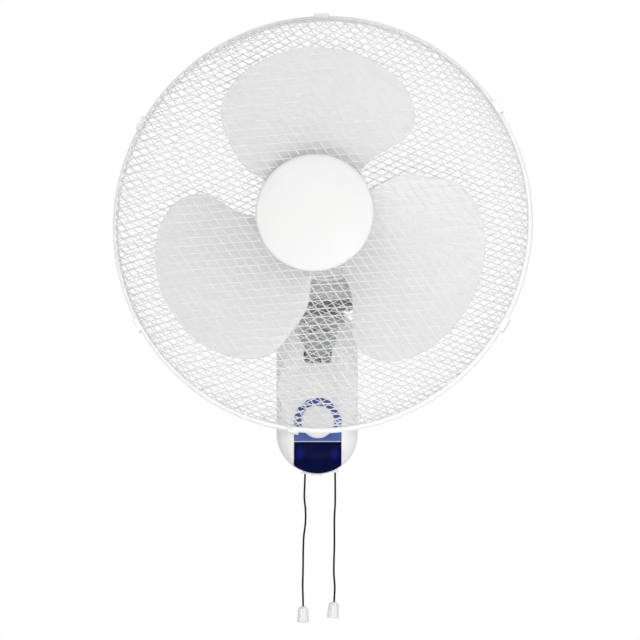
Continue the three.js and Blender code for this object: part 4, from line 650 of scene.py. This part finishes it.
mark = block("index_mark", (17.9, -3.6, 80.3), (21.3, 3.6, 81.0))
soften(mark, 0.3)
mark.matrix_world = shift(0, PANEL_Y, 0) @ spun(138, "Z")
settle(mark, WALL)
dress(mark, "housing", BLACK_PLASTIC, "black_plastic")
print("disc faces", len(disc.data.polygons))

# %% [markdown]
# ## Guard
#
# Each mesh is two sets of parallel wires, welded where they cross. Seen from the front every
# wire is straight, but it bends over a dome. So each set starts as a flat grid. The edges that
# run across are deleted, which leaves one line per wire, and the points are lifted on the dome.
# They lie closer together near the rim, where the dome is steep. So do the wires themselves: a
# flat mesh keeps its pitch along the curve when it is pressed into a dome, so from the front the
# wires crowd where the dome falls away. The lines then become curves, get the wire's thickness,
# and turn back into mesh.

# %% Helper for a set of bent wires
def flattened(depth, power, reach_all):
    """Distances from the middle, along the dome's curve and as seen from the front."""
    curve, seen, length = [0.0], [0.0], 0.0
    for i in range(1, 2001):
        here, before = reach_all * i / 2000, reach_all * (i - 1) / 2000
        drop = [depth * math.sqrt(1 - (r / reach_all) ** power) for r in (before, here)]
        length += math.hypot(here - before, drop[1] - drop[0])
        curve.append(length)
        seen.append(here)
    return curve, seen


MESH_REACH, RIM_LEVEL = 215.6, 2.65


def wire_set(name, side, depth, power, degrees, pitch, inner, thick, steps, shift_by=0.0):
    base, reach_all = side * RIM_LEVEL, MESH_REACH
    curve, seen = flattened(depth, power, reach_all)
    count = int(curve[-1] / pitch - shift_by - 0.3)
    fresh()
    bpy.ops.mesh.primitive_grid_add(x_subdivisions=2 * count, y_subdivisions=steps, size=2)
    net = named(name)
    pick(net, "EDGE", lambda e: abs(net.data.vertices[e.vertices[0]].co.x
                                    - net.data.vertices[e.vertices[1]].co.x) > 1e-6)
    bpy.ops.mesh.delete(type="EDGE_FACE")
    bpy.ops.object.mode_set(mode="OBJECT")
    cosine, sine = math.cos(math.radians(degrees)), math.sin(math.radians(degrees))
    for vertex in net.data.vertices:
        walked = (round(vertex.co.x * count) + shift_by) * pitch
        place = min(range(len(curve)), key=lambda i: abs(curve[i] - abs(walked)))
        offset = math.copysign(min(seen[place], 0.996 * reach_all), walked)
        share = vertex.co.y
        reach = math.sqrt(reach_all ** 2 - offset ** 2)
        if abs(offset) < inner:
            stop = math.sqrt(inner ** 2 - offset ** 2)
            along = math.copysign(
                stop + (reach - stop) * math.sin(abs(share) * math.pi / 2), share)
        else:
            along = reach * math.sin(share * math.pi / 2)
        radius = min(1.0, math.hypot(along, offset) / reach_all)
        height = base + side * depth * math.sqrt(1 - radius ** power)
        vertex.co = Vector((along * cosine - offset * sine,
                            along * sine + offset * cosine, height)) * MM
    pick(net, "EDGE", lambda e: all(
        math.hypot(*net.data.vertices[v].co[:2]) < (inner + 6) * MM for v in e.vertices)
        and (net.data.vertices[e.vertices[0]].co
             - net.data.vertices[e.vertices[1]].co).length > 8 * MM)
    bpy.ops.mesh.delete(type="EDGE")
    bpy.ops.object.mode_set(mode="OBJECT")
    hold(net)
    bpy.ops.object.convert(target="CURVE")
    net = bpy.context.object
    net.data.bevel_depth = thick / 2 * MM
    net.data.bevel_resolution = 1
    net.data.use_fill_caps = True
    bpy.ops.object.convert(target="MESH")
    return bpy.context.object


def merged(name, *parts):
    fresh()
    for part in parts:
        part.select_set(True)
    bpy.context.view_layer.objects.active = parts[0]
    bpy.ops.object.join()
    return named(name)


def wire_ring(name, radius, thick, z, around=160, section=16):
    fresh()
    bpy.ops.mesh.primitive_torus_add(
        major_radius=radius * MM, minor_radius=thick / 2 * MM, major_segments=around,
        minor_segments=section, location=(0, 0, z * MM))
    ring = named(name)
    bpy.ops.object.transform_apply(location=True)
    return ring


# %% [markdown]
# Each guard is a mesh and a round rim of thicker wire. Front and rear have their own pitch,
# angles and depth, as the photograph shows. A smaller ring closes the middle of each, and the
# rear one also has the flat plate that the motor's nut clamps.

# %% Front and rear guard
RIM_RADIUS, RIM_THICK = 217.5, 5

front_rim = wire_ring("front_rim", RIM_RADIUS, RIM_THICK, RIM_LEVEL)
settle(front_rim, HEAD, smooth=180)
dress(front_rim, "head", RIM_WHITE, "white_wire", "front_guard")

front_mesh = merged(
    "front_mesh",
    wire_set("front_first", 1, 73.0, 7, 3, 8.4, 50, 1.0, 44),
    wire_set("front_second", 1, 72.0, 7, -56, 8.4, 50, 1.0, 44, 0.5),
    wire_ring("front_centre", 50, 4, 74.25, 96, 10))
settle(front_mesh, HEAD, smooth=180)
dress(front_mesh, "head", FRONT_WIRE_WHITE, "white_wire", "front_guard")
print("front mesh triangles", sum(len(f.vertices) - 2 for f in front_mesh.data.polygons))

rear_rim = wire_ring("rear_rim", RIM_RADIUS, RIM_THICK, -RIM_LEVEL)
settle(rear_rim, HEAD, smooth=180)
dress(rear_rim, "head", RIM_WHITE, "white_wire", "rear_guard")

rear_mesh = merged(
    "rear_mesh",
    wire_set("rear_first", -1, 43.0, 4, 26, 6.5, 52, 0.95, 36),
    wire_set("rear_second", -1, 42.0, 4, -22, 6.5, 52, 0.95, 36, 0.5),
    wire_ring("rear_centre", 52, 4, -45.4, 96, 10),
    turned("rear_plate", [(20.7, -47.2), (52, -47.2), (52, -46.0), (20.7, -46.0),
                          (20.7, -47.2)], 96))
settle(rear_mesh, HEAD, smooth=40)
dress(rear_mesh, "head", REAR_WIRE_GREY, "white_wire", "rear_guard")
print("rear mesh triangles", sum(len(f.vertices) - 2 for f in rear_mesh.data.polygons))

# %% [markdown]
# The centre cap is a shallow dome, turned in one profile with the wall that plugs the centre
# ring. The clips are short strips bent round both rims, made by one function at each angle.
# The lower one is narrower and carries the small ring screw.

# %% Cap, clips and ring screw
cap = turned("cap_dome", [
    (1.0, 83.7), (12, 83.6), (21.5, 83.3), (32, 82.65), (43, 81.7), (52, 80.4), (57.5, 79.5),
    (59.6, 78.85), (60.9, 77.9), (61.5, 76.75), (59.5, 76.75), (56.5, 77.5), (47.1, 78.5),
    (47.1, 72.25), (45.5, 72.25), (45.5, 78.9), (21.5, 81.3), (1.0, 81.7)], 128)
settle(cap, HEAD, smooth=50)
dress(cap, "head", CAP_WHITE, "white_plastic", "centre_cap")

CLIP_ANGLES = (33, 90, 150, 208, 262, 330)
LOCK_ANGLE = 262


def rim_clip(number, angle):
    front, half = (8.55, 4.6) if angle == LOCK_ANGLE else (6.95, 7.5)
    clip = block(f"clip_{number}_strip", (216.0, -half, -6.95), (222.1, half, front))
    carve(clip, block("channel", (210, -9, -5.45), (220.6, 9, 5.45)))
    if angle == LOCK_ANGLE:
        carve(clip, rod("screw_hole", 1.5, 5.9, 10, 217.5, 0, 24))
    soften(clip, 0.6, 3)
    clip.rotation_euler.z = math.radians(angle)
    settle(clip, HEAD)
    return dress(clip, "head", RIM_WHITE, "white_plastic", f"rim_clip_{number}")


for number, angle in enumerate(CLIP_ANGLES, 1):
    rim_clip(number, angle)

screw = turned("ring_screw_head", [(1.2, 6.3), (1.2, 8.85), (2.5, 8.85), (2.5, 9.7),
                                   (2.1, 10.2), (1.4, 10.35)], 40)
for turn in (0, 90):
    slot = block("driver_slot", (-1.7, -0.3, 9.6), (1.7, 0.3, 11))
    slot.rotation_euler.z = math.radians(turn)
    carve(screw, slot)
screw.location = Vector((217.5 * math.cos(math.radians(LOCK_ANGLE)),
                         217.5 * math.sin(math.radians(LOCK_ANGLE)), 0)) * MM
settle(screw, HEAD)
dress(screw, "head", ZINC, "steel", "ring_screw")
print("cap, clips and screw made")

# %% [markdown]
# ## Blades
#
# The blade set is one moulding: a hub and three broad blades that overlap a third of the circle
# each. A blade is a grid, laid over the range of radius and angle that the photograph shows.
# Its front edge hooks forward and its back edge is full near the hub. The grid rises with the
# angle, which gives the twist. Then it gets its thickness, and its edges are rounded.

# %% Blade set
BLADE_TIP, BLADE_THICK = 181.0, 2.4
BLADE_MIDDLE, BLADE_RAKE, BLADE_TWIST = 26, 6, 34


def eased(value, low, high):
    share = min(1.0, max(0.0, (value - low) / (high - low)))
    return share * share * (3 - 2 * share)


def blade_angles(radius):
    start = 0.66 * BLADE_TIP
    share = min(1.0, max(0.0, (radius - start) / (BLADE_TIP + 0.5 - start)))
    closing = math.sqrt(1 - share ** 2.5)
    leading = 37 + 8 * eased(radius, 0.4 * BLADE_TIP, 0.7 * BLADE_TIP)
    trailing = 55 - 9 * eased(radius, 0.47 * BLADE_TIP, 0.78 * BLADE_TIP)
    return -leading * closing, trailing * closing


def one_blade(name, turn):
    fresh()
    bpy.ops.mesh.primitive_grid_add(x_subdivisions=40, y_subdivisions=26, size=2)
    blade = named(name)
    for vertex in blade.data.vertices:
        out = (vertex.co.x + 1) / 2
        radius = BLADE_TIP * (0.13 + 0.87 * math.sin(out * math.pi / 2) ** 0.9)
        low, high = blade_angles(radius)
        angle = math.radians(low + (high - low) * (vertex.co.y + 1) / 2)
        height = BLADE_MIDDLE + BLADE_RAKE * (radius / BLADE_TIP) ** 2 + BLADE_TWIST * angle
        vertex.co = Vector((radius * math.cos(angle), radius * math.sin(angle), height)) * MM
    hold(blade)
    pick(blade, "FACE", lambda f: True)
    bpy.ops.mesh.normals_make_consistent(inside=False)
    bpy.ops.object.mode_set(mode="OBJECT")
    thick = blade.modifiers.new("thickness", "SOLIDIFY")
    thick.thickness = BLADE_THICK * MM
    thick.offset = 0
    bpy.ops.object.modifier_apply(modifier=thick.name)
    soften(blade, 0.7, 2, 50)
    blade.rotation_euler.z = math.radians(90 + turn)
    hold(blade)
    bpy.ops.object.transform_apply(rotation=True)
    return blade


hub = turned("hub", [
    (4.3, 6), (10, 6), (10, 48), (23, 48), (23, 8), (26, 8), (26, 51.5), (25.4, 53.6),
    (24, 55.2), (22, 56), (4.3, 56), (4.3, 6)], 64)
blades = merged("blades_and_hub", hub, *[one_blade(f"blade_{i}", i * 120) for i in range(3)])
settle(blades, HEAD, smooth=40)
dress(blades, "rotor_and_blades", BLADE_GREY, "blade_plastic", "blade_set")
print("blade set faces", len(blades.data.polygons))

# %% [markdown]
# ## Pulls and bushes
#
# The cord runs through a small white bush under the housing and ends in a knot inside a white
# thimble, open underneath. Both are turned. The right pull leans a little.

# %% Bushes, cords and pulls
PULL_PLACE = {"left": (-15.0, -231.5, 0), "right": (17.9, -226.8, 5)}


def pull_parts(side, route):
    seat = CORD_SEAT[side]
    bush = turned(f"bush_{side}", [
        (1.6, seat - 1.8), (3.8, seat - 1.8), (4.25, seat - 1.6), (4.4, seat - 1.2),
        (4.4, seat - 0.3), (3.0, seat - 0.3), (3.0, seat + 5), (1.6, seat + 5),
        (1.6, seat - 1.8)], 40)
    bush.matrix_world = shift(CORD_X[side], 0, CORD_OUT) @ spun(-90, "X")
    settle(bush, WALL)
    dress(bush, "housing", HOUSING_WHITE, "white_plastic", f"cord_bush_{side}")
    x, y, lean = PULL_PLACE[side]
    pull = turned(f"thimble_{side}", [
        (1.4, 0), (2.6, 0), (3.5, -0.35), (4.2, -1.0), (4.8, -1.7), (5.3, -2.6),
        (5.52, -3.8), (5.6, -5), (5.85, -9), (6.1, -13), (6.3, -15.5), (6.3, -16.7),
        (6.0, -17), (5.3, -17), (5.0, -16.8), (4.3, -5), (3.7, -3.2), (1.4, -2.2),
        (1.4, 0)], 48)
    pull.matrix_world = shift(x, y, CORD_OUT) @ spun(-90, "X") @ spun(lean, "Y")
    settle(pull, WALL, smooth=50)
    dress(pull, f"{side}_pull", CAP_WHITE, "white_plastic", f"pull_{side}")
    cord = pull_cord(side, route)
    dress(cord, f"{side}_pull", CORD_BLACK, "black_cord", f"pull_cord_{side}")


pull_parts("left", LEFT_ROUTE)
pull_parts("right", RIGHT_ROUTE)
print("cords hang on", list(PULL_PLACE))

# %% [markdown]
# ## Neck
#
# The neck is one casting: a barrel on the hinge bolt, an arm that widens and rises towards the
# head, and a socket for the swivel. The arm starts as a rounded rectangle and is extruded from
# section to section, each one resized and moved. The other forms are joined to it. Near the
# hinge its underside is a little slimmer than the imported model's, to clear the closer slot.

# %% Neck arm
NECK_SECTIONS = [
    (-4, -9, 9, 13), (14, -6.5, 13, 13), (25, -6.8, 15, 14.2), (36, -8.5, 17.3, 16.3),
    (56, -5, 21, 19),
    (76, 0, 22, 20.5), (102, 4, 22, 20), (109, 7, 19, 16)]

neck_arm = rounded_box("neck_casting", 13, 9, 3.5, -4.5, -4, segments=6)
pick(neck_arm, "FACE", lambda f: f.normal.z > 0.9)
for (z0, low0, high0, half0), (z1, low1, high1, half1) in zip(NECK_SECTIONS, NECK_SECTIONS[1:]):
    middle0, middle1 = (low0 + high0) / 2, (low1 + high1) / 2
    bpy.ops.mesh.extrude_region_move(TRANSFORM_OT_translate={
        "value": (0, (middle1 - middle0) * MM, (z1 - z0) * MM)})
    bpy.ops.transform.resize(value=(half1 / half0, (high1 - low1) / (high0 - low0), 1),
                             center_override=(0, middle1 * MM, z1 * MM))
bpy.ops.mesh.select_all(action="SELECT")
bpy.ops.mesh.normals_make_consistent(inside=False)
bpy.ops.object.mode_set(mode="OBJECT")
barrel = turned("barrel", [(14, -13), (14, 13)], 64)
barrel.rotation_euler.y = math.radians(90)
carve(neck_arm, barrel, "UNION")
carve(neck_arm, upright_rod("socket", 10.3, 6, 47, 0, 92, 64), "UNION")
carve(neck_arm, upright_rod("lug", 5, 9, 22, 22, 92), "UNION")
carve(neck_arm, upright_rod("peg", 2, 21, 30.4, 22, 92), "UNION")
bore = turned("hinge_bore", [(4.3, -20), (4.3, 20)], 48)
bore.rotation_euler.y = math.radians(90)
carve(neck_arm, bore)
carve(neck_arm, upright_rod("bush_bore", 7.3, 16, 50, 0, 92, 48))
carve(neck_arm, upright_rod("pin_bore", 4.8, -20, 17, 0, 92, 48))
carve(neck_arm, upright_rod("nut_pocket", 11, -20, 8, 0, 92, 48))
soften(neck_arm, 0.8, 3, 40)
settle(neck_arm, NECK, smooth=45)
dress(neck_arm, "neck", NECK_GREY, "grey_plastic", "neck_arm")
print("neck faces", len(neck_arm.data.polygons))

# %% [markdown]
# ## Motor cover
#
# The white cover behind the guard is a deep bowl with a round shoulder, eight radial vents in
# its back, and an opening below for the swivel. It is turned, and the vents and the opening are
# cut. A short skirt under it hides the swing drive. Its white is painted a darker grey: painted
# shade for the shadow that the guard, blades and cap cast on it.

# %% Motor cover and skirt
def bowl_profile(inset, front, steps=10):
    radius, back = 54 - inset, -138.5 + inset
    points = [(radius, front)]
    for i in range(steps + 1):
        turn = math.pi / 2 * i / steps
        points.append((radius - 26 * (1 - math.cos(turn)), back + 26 * (1 - math.sin(turn))))
    return points


motor_cover = turned("motor_bowl", bowl_profile(0, -50.5), 112)
carve(motor_cover, turned("bowl_hollow", bowl_profile(2.2, -49.5), 112))
for i in range(8):
    vent = block("vent", (14.5, -1.6, -146), (27.5, 1.6, -130))
    vent.rotation_euler.z = math.radians(45 * i)
    carve(motor_cover, vent)
carve(motor_cover, block("opening", (-28.6, -55, -137.6), (27.6, -41, -49.4)))
soften(motor_cover, 0.5)
settle(motor_cover, HEAD)
dress(motor_cover, "head", MOTOR_COVER_SHADED_WHITE, "white_plastic", "motor_cover")
print("motor cover faces", len(motor_cover.data.polygons))

# %% [markdown]
# ## Parts kept from the model
#
# The inner parts and the small hardware already have their right shapes, so only their
# materials change: zinc plate on the stamped and turned steel, a coarser casting grain on the
# brackets, stacked laminations, copper, bronze.

# %% Materials of the kept parts
KEPT = {
    ZINC: ["wall_plate", "shell_screw_1", "shell_screw_2", "switch_bracket", "tilt_bracket",
           "bracket_screw_1", "bracket_screw_2", "tilt_bolt", "tilt_nut", "friction_washer_left",
           "friction_washer_right", "pan_pin", "pan_nut", "motor_shaft", "drive_pin", "rotor"],
    CASTING: ["pan_bracket", "swing_motor", "motor_front_shell", "motor_rear_shell"],
    BLACK_PLASTIC: ["capacitor"],
    NECK_GREY: ["swing_crank", "swing_link"],
    SWITCH_GREY: ["speed_switch", "swing_switch"],
    LAMINATION: ["stator_core"],
    COPPER: ["winding_front", "winding_rear"],
    BRONZE: ["front_bearing", "rear_bearing", "pan_bush"],
    # The swing cover takes the same white, darkened as painted shade.
    MOTOR_COVER_SHADED_WHITE: ["swing_cover"],
    HOUSING_WHITE: ["terminal_block", "guard_nut", "spinner_nut", "mains_grommet"],
}
for material, nodes in KEPT.items():
    for node in nodes:
        piece = bpy.data.objects[node]
        for material_slot in piece.material_slots:
            material_slot.material = material
print("kept nodes:", sum(len(nodes) for nodes in KEPT.values()))

# %% [markdown]
# ## Light and floor
#
# The photograph shows the fan on pure white, evenly lit. An even world gives half of the light.
# A low lamp in front, above the floor's level, reaches the housing under the rim. A key lamp from
# upper left and a fill from the right add gentle shading, and one lamp lights the back. The floor
# is far below the fan. Where the world is, the camera, reflections and glass see plain white, and
# a share of white is added on the floor for the same rays, so it stays pale but keeps its shadow.

# %% World, lamps and floor
def background_rays(nodes, links, strength):
    """The given strength for rays of the camera, of reflections and through glass, else 0."""
    path = nodes.new("ShaderNodeLightPath")
    rays = path.outputs["Is Camera Ray"]
    for label in ("Is Glossy Ray", "Is Transmission Ray"):
        either = nodes.new("ShaderNodeMath")
        either.operation = "MAXIMUM"
        links.new(rays, either.inputs[0])
        links.new(path.outputs[label], either.inputs[1])
        rays = either.outputs[0]
    level = nodes.new("ShaderNodeMath")
    level.operation = "MULTIPLY"
    level.inputs[1].default_value = strength
    links.new(rays, level.inputs[0])
    return level.outputs[0]


world = bpy.data.worlds.new("studio")
scene.world = world
world.use_nodes = True
nodes, links = world.node_tree.nodes, world.node_tree.links
nodes.clear()
ambient = nodes.new("ShaderNodeBackground")
ambient.inputs["Color"].default_value = (1, 1, 1, 1)
ambient.inputs["Strength"].default_value = 0.5
backdrop = nodes.new("ShaderNodeBackground")
backdrop.inputs["Color"].default_value = (1, 1, 1, 1)
backdrop.inputs["Strength"].default_value = 1.0
mix = nodes.new("ShaderNodeMixShader")
out = nodes.new("ShaderNodeOutputWorld")
links.new(background_rays(nodes, links, 1.0), mix.inputs["Fac"])
links.new(ambient.outputs[0], mix.inputs[1])
links.new(backdrop.outputs[0], mix.inputs[2])
links.new(mix.outputs[0], out.inputs["Surface"])


def lamp(name, place, aim, size, power):
    light = bpy.data.lights.new(name, "AREA")
    light.shape = "SQUARE"
    light.size = size
    light.energy = power
    holder = bpy.data.objects.new(name, light)
    scene.collection.objects.link(holder)
    holder.location = place
    direction = Vector(aim) - Vector(place)
    holder.rotation_euler = direction.to_track_quat("-Z", "Y").to_euler()
    return holder


lamp("key", (-0.9, -2.6, 1.5), (0, -0.15, 0.1), 1.4, 8)
lamp("fill", (1.8, -2.2, 0.2), (0, -0.15, 0.05), 1.0, 6)
lamp("low", (0.1, -2.6, -0.22), (0, -0.05, -0.05), 0.6, 22)
lamp("back", (0.9, 2.2, 1.4), (0, -0.1, 0.1), 1.2, 9)

FLOOR_SIZE, FLOOR_HEIGHT, FLOOR_WHITE_SHARE = 6, -0.62, 0.4
fresh()
bpy.ops.mesh.primitive_plane_add(size=FLOOR_SIZE, location=(0, 0, FLOOR_HEIGHT))
floor = named("floor")
floor_material = bpy.data.materials.new("floor white")
floor_material.use_nodes = True
floor.data.materials.append(floor_material)
nodes, links = floor_material.node_tree.nodes, floor_material.node_tree.links
floor_shader = nodes["Principled BSDF"]
floor_shader.inputs["Base Color"].default_value = (0.85, 0.85, 0.85, 1)
floor_shader.inputs["Roughness"].default_value = 0.8
floor_shader.inputs["Emission Color"].default_value = (1, 1, 1, 1)
links.new(background_rays(nodes, links, FLOOR_WHITE_SHARE), floor_shader.inputs["Emission Strength"])
